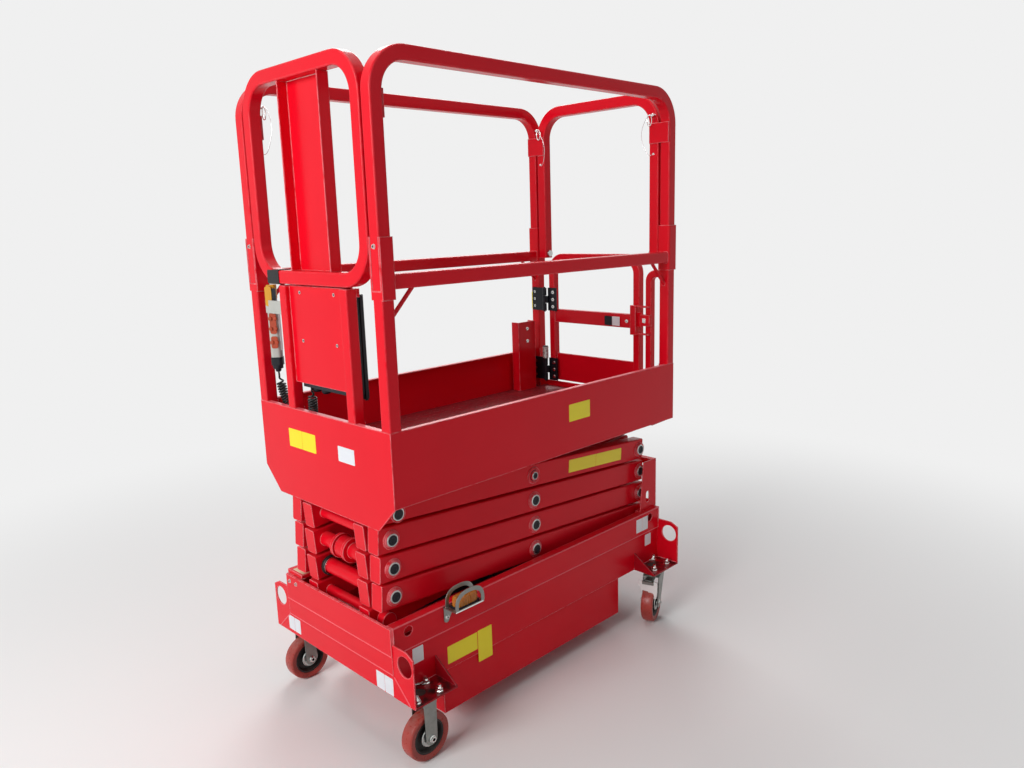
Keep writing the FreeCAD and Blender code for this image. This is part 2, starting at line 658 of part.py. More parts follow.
def pivot_pins(level):
    """Pins of an inner pair that carry the outer arms."""
    low = level_z(level - 1)
    inner_face = INNER_ARM_Y + ARM_WIDTH / 2
    length = OUTER_ARM_Y + ARM_WIDTH / 2 + PIN_STAND_OUT - inner_face
    places = [(0, low + LEVEL_PITCH / 2)]
    if level > 1:
        places.append((-PIVOT_X, low))
    if level < LEVELS:
        places.append((PIVOT_X, low + LEVEL_PITCH))
    pieces = []
    for side in SIDES:
        for x, z in places:
            pieces.append(rod(PIN_R, V(x, side * inner_face, z), Y_AXIS * side, length))
    return pieces


def cylinder_line():
    low = level_z(0)
    base = V(-PIVOT_X + 2 * PIVOT_X * BARREL_SHARE, 0, low + LEVEL_PITCH * BARREL_SHARE)
    eye = V(-PIVOT_X, 0, level_z(2))
    return base, eye, (eye - base).normalize(), (eye - base).Length


def lift_barrel():
    base, eye, along, length = cylinder_line()
    bore_start = length - EYE_R - ROD_BURIED - 40
    tube = rod(BARREL_R, base + along * BARREL_TAIL, along, BARREL_LENGTH - BARREL_TAIL)
    tube = tube.cut(rod(ROD_R + RUN_FIT, base + along * bore_start, along, length))
    lug = rod(BARREL_EYE_R, V(base.x, -BARREL_EYE_R, base.z), Y_AXIS, 2 * BARREL_EYE_R)
    neck = rod(BARREL_EYE_R - 4, base + along * (BARREL_PIN_R + 6), along, BARREL_TAIL)
    eye_end = fuse([lug, neck]).cut(rod(BARREL_PIN_R + RUN_FIT, V(base.x, -2 * BARREL_R, base.z), Y_AXIS, 4 * BARREL_R))
    return [fuse([tube, eye_end])]


def lift_rod():
    base, eye, along, length = cylinder_line()
    start = length - EYE_R - ROD_BURIED
    body = fuse([rod(ROD_R, base + along * start, along, ROD_BURIED + 10),
                 rod(EYE_R, V(eye.x, -EYE_WIDTH / 2, eye.z), Y_AXIS, EYE_WIDTH)])
    return [body.cut(rod(PIN_R + RUN_FIT, V(eye.x, -EYE_WIDTH, eye.z), Y_AXIS, 2 * EYE_WIDTH))]


# Platform

def platform_tray():
    """Side and end toe boards with a deep front apron, a lower rear one and a folded rim."""
    length, width = TRAY_HALF_LENGTH, TRAY_HALF_WIDTH
    chamfer_y = width - TRAY_CHAMFER
    outline = [(width, TRAY_TOP_Z), (width, TRAY_BOTTOM_Z), (chamfer_y, TRAY_APRON_Z),
               (-chamfer_y, TRAY_APRON_Z), (-width, TRAY_BOTTOM_Z), (-width, TRAY_TOP_Z)]
    parts = [prism([V(-length, y, z) for y, z in outline], V(SHEET, 0, 0))]
    for side in SIDES:
        y0, y1 = sorted((side * (width - SHEET), side * width))
        parts.append(box(-length, length, y0, y1, TRAY_BOTTOM_Z, TRAY_TOP_Z))
        y0, y1 = sorted((side * (width - TRAY_RIM), side * width))
        rim_x = length - RAIL_TUBE - 1
        parts.append(box(-rim_x, rim_x, y0, y1, TRAY_TOP_Z - SHEET, TRAY_TOP_Z))
    post_y = width - RAIL_TUBE - 1
    parts.append(box(-length, -length + TRAY_RIM, PANEL_POST_Y[0] + PANEL_POST / 2 + 1, post_y,
                     TRAY_TOP_Z - SHEET, TRAY_TOP_Z))
    parts.append(box(-length, -length + TRAY_RIM, -post_y, PANEL_POST_Y[1] - PANEL_POST / 2 - 1,
                     TRAY_TOP_Z - SHEET, TRAY_TOP_Z))
    sill_reach = width - SHEET
    chamfer_y = sill_reach - REAR_CHAMFER
    outline = [(sill_reach, SILL_TOP_Z), (sill_reach, TRAY_BOTTOM_Z), (chamfer_y, REAR_APRON_Z),
               (-chamfer_y, REAR_APRON_Z), (-sill_reach, TRAY_BOTTOM_Z), (-sill_reach, SILL_TOP_Z)]
    parts.append(prism([V(length - SHEET, y, z) for y, z in outline], V(SHEET, 0, 0)))
    return [fuse(parts)]


def deck_plate():
    length, width = TRAY_HALF_LENGTH - SHEET, TRAY_HALF_WIDTH - SHEET
    return [box(-length, length, -width, width, DECK_TOP_Z - DECK_T, DECK_TOP_Z)]


def platform_beams():
    """Roller tracks and pivot lugs under the deck."""
    pieces = []
    under = DECK_TOP_Z - DECK_T
    track_z = UPPER_Z + ROLLER_R + SEAT_GAP
    inner_y = PLATFORM_ROLLER_Y - ROLLER_WIDTH / 2
    outer_y = PLATFORM_ROLLER_Y + ROLLER_WIDTH / 2 + 10
    end_x = TRAY_HALF_LENGTH - SHEET - 6
    track = fuse([box(-end_x, end_x, inner_y, outer_y, track_z, track_z + TRACK_T),
                  box(-end_x, end_x, outer_y - TRACK_T, outer_y, track_z, under)])
    lug_y0 = INNER_ARM_Y + ARM_WIDTH / 2 + 6
    pin_start = INNER_ARM_Y - ARM_WIDTH / 2 - 6
    lug = fuse([box(PIVOT_X - 32, PIVOT_X + 32, lug_y0, lug_y0 + 12, UPPER_Z - 30, under),
                rod(PIN_R, V(PIVOT_X, pin_start, UPPER_Z), Y_AXIS, lug_y0 - pin_start + 1)])
    for piece in (track, lug):
        pieces += [piece, mirror_y(piece)]
    return pieces


def post_centre_x(end):
    return end * (TRAY_HALF_LENGTH - RAIL_TUBE / 2)


def post_centre_y(side):
    return side * (TRAY_HALF_WIDTH - RAIL_TUBE / 2)


def upright(x, y, z0, z1, size=RAIL_TUBE, edge=RAIL_EDGE_R):
    return section(V(x, y, z0), Z_AXIS, X_AXIS, size, size, edge).extrude(V(0, 0, z1 - z0))


def post_foot(x, y, half):
    """Foot of a post inside the toe boards, clear of the sheets."""
    limit_x = TRAY_HALF_LENGTH - SHEET
    limit_y = TRAY_HALF_WIDTH - SHEET
    x0, x1 = max(x - half, -limit_x), min(x + half, limit_x)
    y0, y1 = max(y - half, -limit_y), min(y + half, limit_y)
    return box(x0, x1, y0, y1, DECK_TOP_Z, TRAY_TOP_Z)


def corner_post(end, side):
    """Lower corner post with the sleeve that holds the upper frame's leg."""
    x, y = post_centre_x(end), post_centre_y(side)
    sleeve = upright(x, y, SLEEVE_BOTTOM_Z, SLEEVE_TOP_Z, SLEEVE_TUBE, RAIL_EDGE_R + 2)
    bore = upright(x, y, POST_TOP_Z, SLEEVE_TOP_Z + 1, RAIL_TUBE + 2 * SEAT_GAP)
    trim = TRAY_HALF_LENGTH
    post = fuse([upright(x, y, TRAY_TOP_Z, POST_TOP_Z), sleeve.cut(bore), post_foot(x, y, RAIL_TUBE / 2)])
    keep = box(-trim, trim, -TRAY_HALF_WIDTH - 10, TRAY_HALF_WIDTH + 10, 0, GUARD_TOP_Z)
    return post.common(keep)


def side_rails():
    """Lower posts, mid rail and braces of each long side."""
    pieces = []
    for side in SIDES:
        y = post_centre_y(side)
        reach = TRAY_HALF_LENGTH - RAIL_TUBE / 2
        parts = [corner_post(end, side) for end in SIDES]
        rail = section(V(-reach + RAIL_TUBE / 2 + 2, y, MID_RAIL_Z), X_AXIS, Y_AXIS, RAIL_TUBE, RAIL_TUBE, RAIL_EDGE_R)
        parts.append(rail.extrude(V(2 * reach - RAIL_TUBE - 4, 0, 0)))
        for end in SIDES:
            foot = V(post_centre_x(end) - end * (RAIL_TUBE / 2 - 3), y, BRACE_FOOT_Z - 3)
            head = V(foot.x - end * (BRACE_REACH + 6), y, MID_RAIL_Z - RAIL_TUBE / 2 + 3)
            parts.append(rod(BRACE_R, foot, head - foot, (head - foot).Length))
        pieces.append(fuse(parts))
    return pieces


def side_frame(side):
    """Upper frame of a long side, an inverted U set in the sleeves."""
    y = post_centre_y(side)
    x = TRAY_HALF_LENGTH - RAIL_TUBE / 2
    top = GUARD_TOP_Z - RAIL_TUBE / 2
    low = POST_TOP_Z + SEAT_GAP
    points = [V(-x, y, low), V(-x, y, top), V(x, y, top), V(x, y, low)]
    return [square_tube(points, Y_AXIS)]


def lock_plates(end):
    """Plates on an end frame's legs that lie over the side frames' legs."""
    leg_face = TRAY_HALF_LENGTH - RAIL_TUBE
    outer = leg_face - SEAT_GAP
    inner = outer - LOCK_PLATE_T
    y1 = TRAY_HALF_WIDTH - 2
    z1 = GUARD_TOP_Z - LOCK_PLATE_DROP + LOCK_PLATE_HEIGHT / 2
    z0 = z1 - LOCK_PLATE_HEIGHT
    leg_y0, leg_y1 = END_FRAME_Y - RAIL_TUBE / 2 + 6, END_FRAME_Y + RAIL_TUBE / 2 - 6
    pieces = []
    for side in SIDES:
        for near_x, far_x, ya, yb in ((inner, outer, y1 - LOCK_PLATE_WIDTH, y1), (inner, leg_face + 1, leg_y0, leg_y1)):
            x0, x1 = sorted((end * near_x, end * far_x))
            y_lo, y_hi = sorted((side * ya, side * yb))
            pieces.append(box(x0, x1, y_lo, y_hi, z0, z1))
    return pieces


def front_loop():
    """Closed loop of the front end with the wide column down its middle."""
    x = -TRAY_HALF_LENGTH + RAIL_TUBE / 2
    y, top = END_FRAME_Y, GUARD_TOP_Z - RAIL_TUBE / 2
    low = FRONT_LOOP_BOTTOM_Z + RAIL_TUBE / 2
    points = [V(x, 0, low), V(x, -y, low), V(x, -y, top), V(x, y, top), V(x, y, low), V(x, 0, low)]
    return [fuse([square_tube(points, X_AXIS)] + lock_plates(-1))]


def front_column():
    """Folded column, open to the outside, between the loop's bottom and top rails."""
    x1 = -TRAY_HALF_LENGTH + RAIL_TUBE
    y0, y1 = COLUMN_Y - COLUMN_WIDTH / 2, COLUMN_Y + COLUMN_WIDTH / 2
    z0, z1 = FRONT_LOOP_BOTTOM_Z + RAIL_TUBE, GUARD_TOP_Z - RAIL_TUBE
    outer = box(x1 - COLUMN_DEPTH, x1, y0, y1, z0, z1)
    return [outer.cut(box(x1 - COLUMN_DEPTH - 1, x1 - SHEET, y0 + SHEET, y1 - SHEET, z0 - 1, z1 + 1))]


def front_panel():
    """Two posts on the front toe board with the bolted panel between them."""
    x = -TRAY_HALF_LENGTH + PANEL_POST / 2 + 2
    top = PANEL_TOP_Z
    parts = []
    for y in PANEL_POST_Y:
        parts.append(upright(x, y, TRAY_TOP_Z, top, PANEL_POST))
        parts.append(post_foot(x, y, PANEL_POST / 2))
    y_hi, y_lo = PANEL_POST_Y[0] - PANEL_POST / 2, PANEL_POST_Y[1] + PANEL_POST / 2
    parts.append(box(x - PANEL_T / 2, x + PANEL_T / 2, y_lo - 2, y_hi + 2, PANEL_BOTTOM_Z, top))
    back = x + PANEL_POST / 2
    parts.append(box(back - 2, LOOP_HINGE_X, y_lo - PANEL_POST, y_hi + PANEL_POST, top - HINGE_BAR, top))
    hinge_z = FRONT_LOOP_BOTTOM_Z + LOOP_HINGE_RISE
    parts.append(box(LOOP_HINGE_X - 2, LOOP_HINGE_X + 3, y_lo, y_hi, top - HINGE_BAR, hinge_z))
    radius = LOOP_HINGE_X - (-TRAY_HALF_LENGTH + RAIL_TUBE) - SEAT_GAP
    parts.append(rod(radius, V(LOOP_HINGE_X, y_lo, hinge_z), Y_AXIS, y_hi - y_lo))
    return [fuse(parts)]


def junction_box():
    """Ridged box on the inner face of the panel."""
    x0 = -TRAY_HALF_LENGTH + PANEL_POST / 2 + 2 + PANEL_T / 2
    x1 = x0 + BOX_DEPTH
    y0, y1 = COLUMN_Y - BOX_WIDTH / 2, COLUMN_Y + BOX_WIDTH / 2
    body = box(x0, x1 - 6, y0, y1, BOX_BOTTOM_Z, BOX_TOP_Z)
    ribs = 9
    pitch = (BOX_TOP_Z - BOX_BOTTOM_Z - 20) / ribs
    parts = [body]
    for index in range(ribs):
        z = BOX_BOTTOM_Z + 14 + index * pitch
        parts.append(box(x1 - 7, x1, y0 + 6, y1 - 6, z, z + pitch / 2))
    return [fuse(parts)]


def pendant():
    """Hand control hanging in its clip beside the panel."""
    x0, x1 = PENDANT_X - PENDANT_DEPTH / 2, PENDANT_X + PENDANT_DEPTH / 2
    y0, y1 = PENDANT_Y - PENDANT_WIDTH / 2, PENDANT_Y + PENDANT_WIDTH / 2
    body = box(x0, x1, y0, y1, PENDANT_BOTTOM_Z + 20, PENDANT_TOP_Z)
    vertical = [e for e in body.Edges if abs(e.tangentAt(e.FirstParameter).z) > 0.9]
    body = body.makeFillet(10, vertical)
    neck = rod(16, V(PENDANT_X, PENDANT_Y, PENDANT_BOTTOM_Z), Z_AXIS, 22)
    return [fuse([body, neck])]


def pendant_clip():
    """Bracket from the panel post that carries the pendant."""
    post_y = PANEL_POST_Y[0] + PANEL_POST / 2
    y0 = PENDANT_Y - PENDANT_WIDTH / 2
    x1 = PENDANT_X - PENDANT_DEPTH / 2
    z1 = PENDANT_TOP_Z - CLIP_HEIGHT
    return [box(x1 - SHEET, x1, post_y, y0 + PENDANT_WIDTH, z1 - CLIP_HEIGHT, z1)]


def curly_route():
    """Points of the curly cord from the pendant down and up to the ridged box."""
    x_box = PANEL_POST + 28 - TRAY_HALF_LENGTH
    toe_z, post_y = TRAY_TOP_Z, PANEL_POST_Y[0]
    start = V(PENDANT_X, PENDANT_Y, PENDANT_BOTTOM_Z)
    return [start, start + V(0, 0, -66), start + V(10, -20, -128),
            V(x_box - 12, post_y + 18, toe_z - 62), V(x_box, post_y - 40, toe_z - 76),
            V(x_box - 4, post_y - 96, toe_z - 42), V(x_box - 10, post_y - 122, toe_z + 20),
            V(x_box - 10, post_y - 122, BOX_BOTTOM_Z)]


def arc_tube(points, radius):
    """Tube of straight runs and tangent arcs through a cord's route."""
    edges, radii = [], []
    start = points[0]
    for before, here, after in zip(points, points[1:], points[2:]):
        run_in, run_out = (here - before), (after - here)
        turn = run_in.getAngle(run_out)
        bend = 0.45 * min(run_in.Length, run_out.Length) / math.tan(turn / 2)
        radii.append(bend)
        setback = bend * math.tan(turn / 2)
        u, w = V(run_in).normalize(), V(run_out).normalize()
        a, b = here - u * setback, here + w * setback
        inward = (w - u).normalize()
        centre = here + inward * (bend / math.cos(turn / 2))
        middle = centre - inward * bend
        edges.append(Part.LineSegment(start, a).toShape())
        edges.append(Part.Arc(a, middle, b).toShape())
        start = b
    edges.append(Part.LineSegment(start, points[-1]).toShape())
    path = Part.Wire(edges)
    profile = Part.Wire(Part.Circle(points[0], (points[1] - points[0]).normalize(), radius).toShape())
    tube = path.makePipeShell([profile], True, True)
    solid = tube if tube.ShapeType == "Solid" else tube.Solids[0]
    share = solid.Volume / (math.pi * radius ** 2 * path.Length)
    print("cord radii", [round(r) for r in radii], "length", round(path.Length), "volume share", round(share, 4))
    return solid


def curly_cord():
    return [arc_tube(curly_route(), CURL_R)]


def stub_bracket():
    """Folded channel standing on the deck beside the far toe board."""
    y1 = TRAY_HALF_WIDTH - TRAY_RIM - 1
    x0, x1, z1 = STUB_X, STUB_X + STUB_LENGTH, DECK_TOP_Z + STUB_HEIGHT
    outer = box(x0, x1, y1 - STUB_DEPTH, y1, DECK_TOP_Z, z1)
    return [outer.cut(box(x0 + SHEET, x1 - SHEET, y1 - STUB_DEPTH + SHEET, y1 + 1, DECK_TOP_Z - 1, z1 + 1))]


def gate_post():
    """Narrow loop that the gate latches on, joined to the near corner post."""
    x = TRAY_HALF_LENGTH - RAIL_TUBE / 2
    top = GATE_POST_TOP_Z - GATE_POST_TUBE / 2
    corner_y = post_centre_y(-1) + RAIL_TUBE / 2
    points = [V(x, GATE_POST_Y, DECK_TOP_Z), V(x, GATE_POST_Y, top), V(x, corner_y, top)]
    return [tube_path(points, GATE_POST_TUBE, GATE_POST_TUBE, 4, 30, X_AXIS)]


def gate_frame():
    """Gate tube frame with its mid bar and toe board."""
    x = TRAY_HALF_LENGTH - RAIL_TUBE / 2
    half = GATE_TUBE / 2
    y0, y1 = GATE_Y[0] + half, GATE_Y[1] - half
    top, low = GATE_TOP_Z - half, GATE_BOTTOM_Z
    points = [V(x, y0, low), V(x, y0, top), V(x, y1, top), V(x, y1, low)]
    parts = [tube_path(points, GATE_TUBE, GATE_TUBE, 4, GATE_BEND_R, X_AXIS)]
    parts.append(box(x - 10, x + 10, y0 + 5, y1 - 5, GATE_BAR_Z - GATE_BAR_HEIGHT / 2,
                     GATE_BAR_Z + GATE_BAR_HEIGHT / 2))
    parts.append(box(x - 4, x + 4, y0 + 5, y1 - 5, low, GATE_TOE_TOP_Z))
    return [fuse(parts)]


def gate_latch():
    """Latch case on the gate's free edge."""
    x = TRAY_HALF_LENGTH - RAIL_TUBE / 2
    half = GATE_TUBE / 2
    case = box(x - half - 22, x - half, GATE_Y[0] + 2, GATE_Y[0] + 28,
               GATE_BAR_Z + 66 - LATCH_LENGTH, GATE_BAR_Z + 66)
    return [case]


def hinge_leaves(moving):
    """Leaves and knuckles of both gate hinges, the fixed or the moving set."""
    post_face = TRAY_HALF_LENGTH - RAIL_TUBE
    gate_face = TRAY_HALF_LENGTH - RAIL_TUBE / 2 - GATE_TUBE / 2
    pieces = []
    for z in HINGE_Z:
        z0 = z - HINGE_HEIGHT / 2
        third = HINGE_HEIGHT / 3
        if moving:
            leaf = box(gate_face - HINGE_LEAF_T, gate_face, GATE_Y[1] - 44, GATE_Y[1] + 2, z0, z0 + HINGE_HEIGHT)
            link = box(GATE_HINGE_X, gate_face, GATE_Y[1] - 6, GATE_Y[1] + 2, z0 + third + 1, z0 + 2 * third - 1)
            knuckle = rod(HINGE_BARREL_R, V(GATE_HINGE_X, GATE_HINGE_Y, z0 + third + 1), Z_AXIS, third - 2)
            bore = rod(4 + RUN_FIT / 4, V(GATE_HINGE_X, GATE_HINGE_Y, z0), Z_AXIS, HINGE_HEIGHT)
            pieces.append(fuse([leaf, link, knuckle]).cut(bore))
        else:
            leaf = box(post_face - HINGE_LEAF_T, post_face, GATE_HINGE_Y + 12, TRAY_HALF_WIDTH - 9, z0, z0 + HINGE_HEIGHT)
            link = [box(GATE_HINGE_X, post_face, GATE_HINGE_Y + 6, GATE_HINGE_Y + 14, base, base + third - 1)
                    for base in (z0, z0 + 2 * third + 1)]
            knuckles = [rod(HINGE_BARREL_R, V(GATE_HINGE_X, GATE_HINGE_Y, base), Z_AXIS, third - 1)
                        for base in (z0, z0 + 2 * third + 1)]
            pin = rod(4, V(GATE_HINGE_X, GATE_HINGE_Y, z0 - 4), Z_AXIS, HINGE_HEIGHT + 8)
            pieces.append(fuse([leaf, pin] + link + knuckles))
    if not moving:
        top = HINGE_Z[1] + HINGE_HEIGHT / 2
        pieces[1] = fuse([pieces[1], rod(11, V(GATE_HINGE_X, GATE_HINGE_Y, top), Z_AXIS, HINGE_SPRING_HEIGHT)])
    return pieces


def rear_frame():
    """Folding inverted U above the gate."""
    x = TRAY_HALF_LENGTH - RAIL_TUBE / 2
    top = GUARD_TOP_Z - RAIL_TUBE / 2
    y, low = END_FRAME_Y, REAR_LEG_BOTTOM_Z
    points = [V(x, -y, low), V(x, -y, top), V(x, y, top), V(x, y, low)]
    frame = fuse([square_tube(points, X_AXIS)] + lock_plates(1))
    bore = rod(PIVOT_PIN_R + RUN_FIT / 4, V(x, -TRAY_HALF_WIDTH, REAR_PIVOT_Z), Y_AXIS, 2 * TRAY_HALF_WIDTH)
    return [frame.cut(bore)]


def rear_pivots():
    """Bolts that the rear frame folds on, held by the corner sleeves."""
    x = TRAY_HALF_LENGTH - RAIL_TUBE / 2
    sleeve_face = post_centre_y(1) - SLEEVE_TUBE / 2
    inner = END_FRAME_Y - RAIL_TUBE / 2 - 8
    pieces = []
    for side in SIDES:
        pin = rod(PIVOT_PIN_R, V(x, side * sleeve_face, REAR_PIVOT_Z), Y_AXIS * -side, sleeve_face - inner)
        head = rod(PIVOT_PIN_R + 5, V(x, side * (inner + 6), REAR_PIVOT_Z), Y_AXIS * -side, 6)
        pieces.append(fuse([pin, head]))
    return pieces


NODES = {
    "chassis_sides": chassis_sides,
    "chassis_end_plates": chassis_end_plates,
    "caster_decks": caster_decks,
    "belly_skirt": belly_skirt,
    "battery_and_pump": battery_and_pump,
    "slide_tracks": slide_tracks,
    "entry_step": entry_step,
    "corner_bracket": corner_bracket,
    "warning_lamp": warning_lamp,
    "lamp_cage": lamp_cage,
    "front_forks": front_forks,
    "swivel_plates": swivel_plates,
    "swivel_fork_near": lambda: swivel_fork(-1),
    "swivel_fork_far": lambda: swivel_fork(1),
    "front_wheel_near": lambda: wheel_at(V(FIXED_CASTER_X, -CASTER_Y, WHEEL_R), 0),
    "front_wheel_far": lambda: wheel_at(V(FIXED_CASTER_X, CASTER_Y, WHEEL_R), 0),
    "rear_wheel_near": lambda: wheel_at(swivel_axle(-1), SWIVEL_ANGLE),
    "rear_wheel_far": lambda: wheel_at(swivel_axle(1), SWIVEL_ANGLE),
    "lift_barrel": lift_barrel,
    "lift_rod": lift_rod,
    "platform_tray": platform_tray,
    "deck_plate": deck_plate,
    "platform_beams": platform_beams,
    "side_rails": side_rails,
    "side_frame_near": lambda: side_frame(-1),
    "side_frame_far": lambda: side_frame(1),
    "front_panel": front_panel,
    "junction_box": junction_box,
    "pendant": pendant,
    "pendant_clip": pendant_clip,
    "curly_cord": curly_cord,
    "stub_bracket": stub_bracket,
    "gate_post": gate_post,
    "gate_hinges_fixed": lambda: hinge_leaves(False),
    "gate_hinges_moving": lambda: hinge_leaves(True),
    "gate_frame": gate_frame,
    "gate_latch": gate_latch,
    "front_loop": front_loop,
    "front_column": front_column,
    "rear_frame": rear_frame,
    "rear_pivots": rear_pivots,
}
for number in range(1, LEVELS + 1):
    NODES[f"outer_arms_{number}"] = lambda n=number: outer_arms(n)
    NODES[f"inner_arms_{number}"] = lambda n=number: inner_arms(n)
    NODES[f"pivot_pins_{number}"] = lambda n=number: pivot_pins(n)

os.makedirs("parts", exist_ok=True)
for name, make in NODES.items():
    solids = [solid for piece in make() for solid in piece.Solids]
    if not all(solid.isValid() for solid in solids):
        print("not valid", name)
    shape = solids[0] if len(solids) == 1 else Part.makeCompound(solids)
    shape.exportStep(os.path.join("parts", name + ".step"))
print(len(NODES), "nodes, lifted arm length", round(ARM_LENGTH, 1), "rest angle", round(REST_ANGLE, 3))
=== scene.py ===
"""Looks of a push around scissor lift with a narrow guarded platform, stored lowered.

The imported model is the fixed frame. Every sub-assembly is a class that dresses its own nodes with bevelled
copies, fasteners, labels and trim, and each piece rides on the body that carries it. Lengths are metres.
"""

import json
import logging
import math
from dataclasses import dataclass, field
from enum import Enum
from typing import Callable, Iterable, Sequence

import bmesh
import bpy
from mathutils import Matrix, Quaternion, Vector


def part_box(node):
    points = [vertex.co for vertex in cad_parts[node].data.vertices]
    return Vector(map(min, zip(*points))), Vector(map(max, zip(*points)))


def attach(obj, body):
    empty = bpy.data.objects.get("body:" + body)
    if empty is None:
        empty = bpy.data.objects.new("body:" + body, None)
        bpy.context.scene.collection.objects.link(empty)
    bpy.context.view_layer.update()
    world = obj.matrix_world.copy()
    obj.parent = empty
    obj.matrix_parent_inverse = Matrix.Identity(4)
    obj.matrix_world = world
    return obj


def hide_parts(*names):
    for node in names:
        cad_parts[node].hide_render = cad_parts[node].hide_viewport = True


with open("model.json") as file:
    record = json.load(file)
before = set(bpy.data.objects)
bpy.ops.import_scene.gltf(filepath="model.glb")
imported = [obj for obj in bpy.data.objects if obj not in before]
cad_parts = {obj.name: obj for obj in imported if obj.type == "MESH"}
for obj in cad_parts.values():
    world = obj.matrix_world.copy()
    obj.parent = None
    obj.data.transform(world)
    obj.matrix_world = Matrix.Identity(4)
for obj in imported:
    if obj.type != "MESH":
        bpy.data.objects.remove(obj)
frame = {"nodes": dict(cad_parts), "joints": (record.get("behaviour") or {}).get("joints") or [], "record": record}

LOG = logging.getLogger("scissor_lift")
MM = 0.001
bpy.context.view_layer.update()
BODY_OF = {node: body for body, nodes in frame["record"]["behaviour"]["bodies"].items() for node in nodes}
JOINTS = {joint["name"]: joint for joint in frame["joints"]}
X_AXIS, Y_AXIS, Z_AXIS = Vector((1, 0, 0)), Vector((0, 1, 0)), Vector((0, 0, 1))
CASTER_JOINTS = ("front_wheel_near_spin", "front_wheel_far_spin", "swivel_near_turn", "swivel_far_turn")
# Short names of types.
Socket, Tree, Thing = bpy.types.NodeSocket, bpy.types.NodeTree, bpy.types.Object
Pair, Triple, Point = tuple[float, float], tuple[float, float, float], Sequence[float]


def mm(*sizes: float | tuple) -> tuple:
    """Turn millimetres, also in nested tuples, into metres."""
    return tuple(mm(*size) if isinstance(size, tuple) else size * MM for size in sizes)


class Side(Enum):
    """The two long sides of the machine."""

    NEAR = -1
    FAR = 1


class End(Enum):
    """The two short ends: the panel end and the gate end."""

    FRONT = -1
    REAR = 1


def angles(count: int) -> list[float]:
    """Even angles round a full turn."""
    return [2 * math.pi * k / count for k in range(count)]


def linear(code: str) -> tuple[float, ...]:
    """Turn an sRGB hex colour into linear RGBA.

    Args:
        code: Colour as "#RRGGBB".

    Returns:
        Linear red, green and blue with an alpha of one.
    """
    parts = [int(code[i:i + 2], 16) / 255 for i in (1, 3, 5)]
    channels = [c / 12.92 if c <= 0.04045 else ((c + 0.055) / 1.055) ** 2.4 for c in parts]
    return (*channels, 1.0)


def add_node(tree: Tree, kind: str, inputs: dict | None = None, **settings: object) -> bpy.types.Node:
    """Add a node, set its settings and fill or link its inputs.

    Args:
        tree: Tree that gets the node.
        kind: Blender's type name of the node.
        inputs: Input name or number to a value, or to the output socket that feeds it.
        **settings: Attributes of the node itself.

    Returns:
        The new node.
    """
    node = tree.nodes.new(kind)
    for key, value in settings.items():
        setattr(node, key, value)
    for key, value in (inputs or {}).items():
        if isinstance(value, Socket):
            tree.links.new(value, node.inputs[key])
        else:
            node.inputs[key].default_value = value
    return node


# Finishes

COAT_ROUGHNESS = 0.12
NOISE_SPAN = {"From Min": 0.3, "From Max": 0.7}  # Nearly all of a noise lies in it.
DUST_AND_SHADE_SPAN = {"From Min": 0.35, "From Max": 0.65}  # Noise over which dust and painted shade set in.
DUST_AND_SHADE_RISE = {"From Min": 0.5, "From Max": 1.0}  # Height of the normal over which a face takes dust and painted shade.
WEAR_AND_HIGHLIGHT_SPAN = {"From Min": 0.3, "From Max": 0.5}  # Noise over which wear and painted edge highlight set in.
EDGE_SPAN = {"From Min": 0.985, "From Max": 0.9}  # How well rounded and flat normal agree towards an edge.
WEAR_AND_HIGHLIGHT_SCALE = 38.0


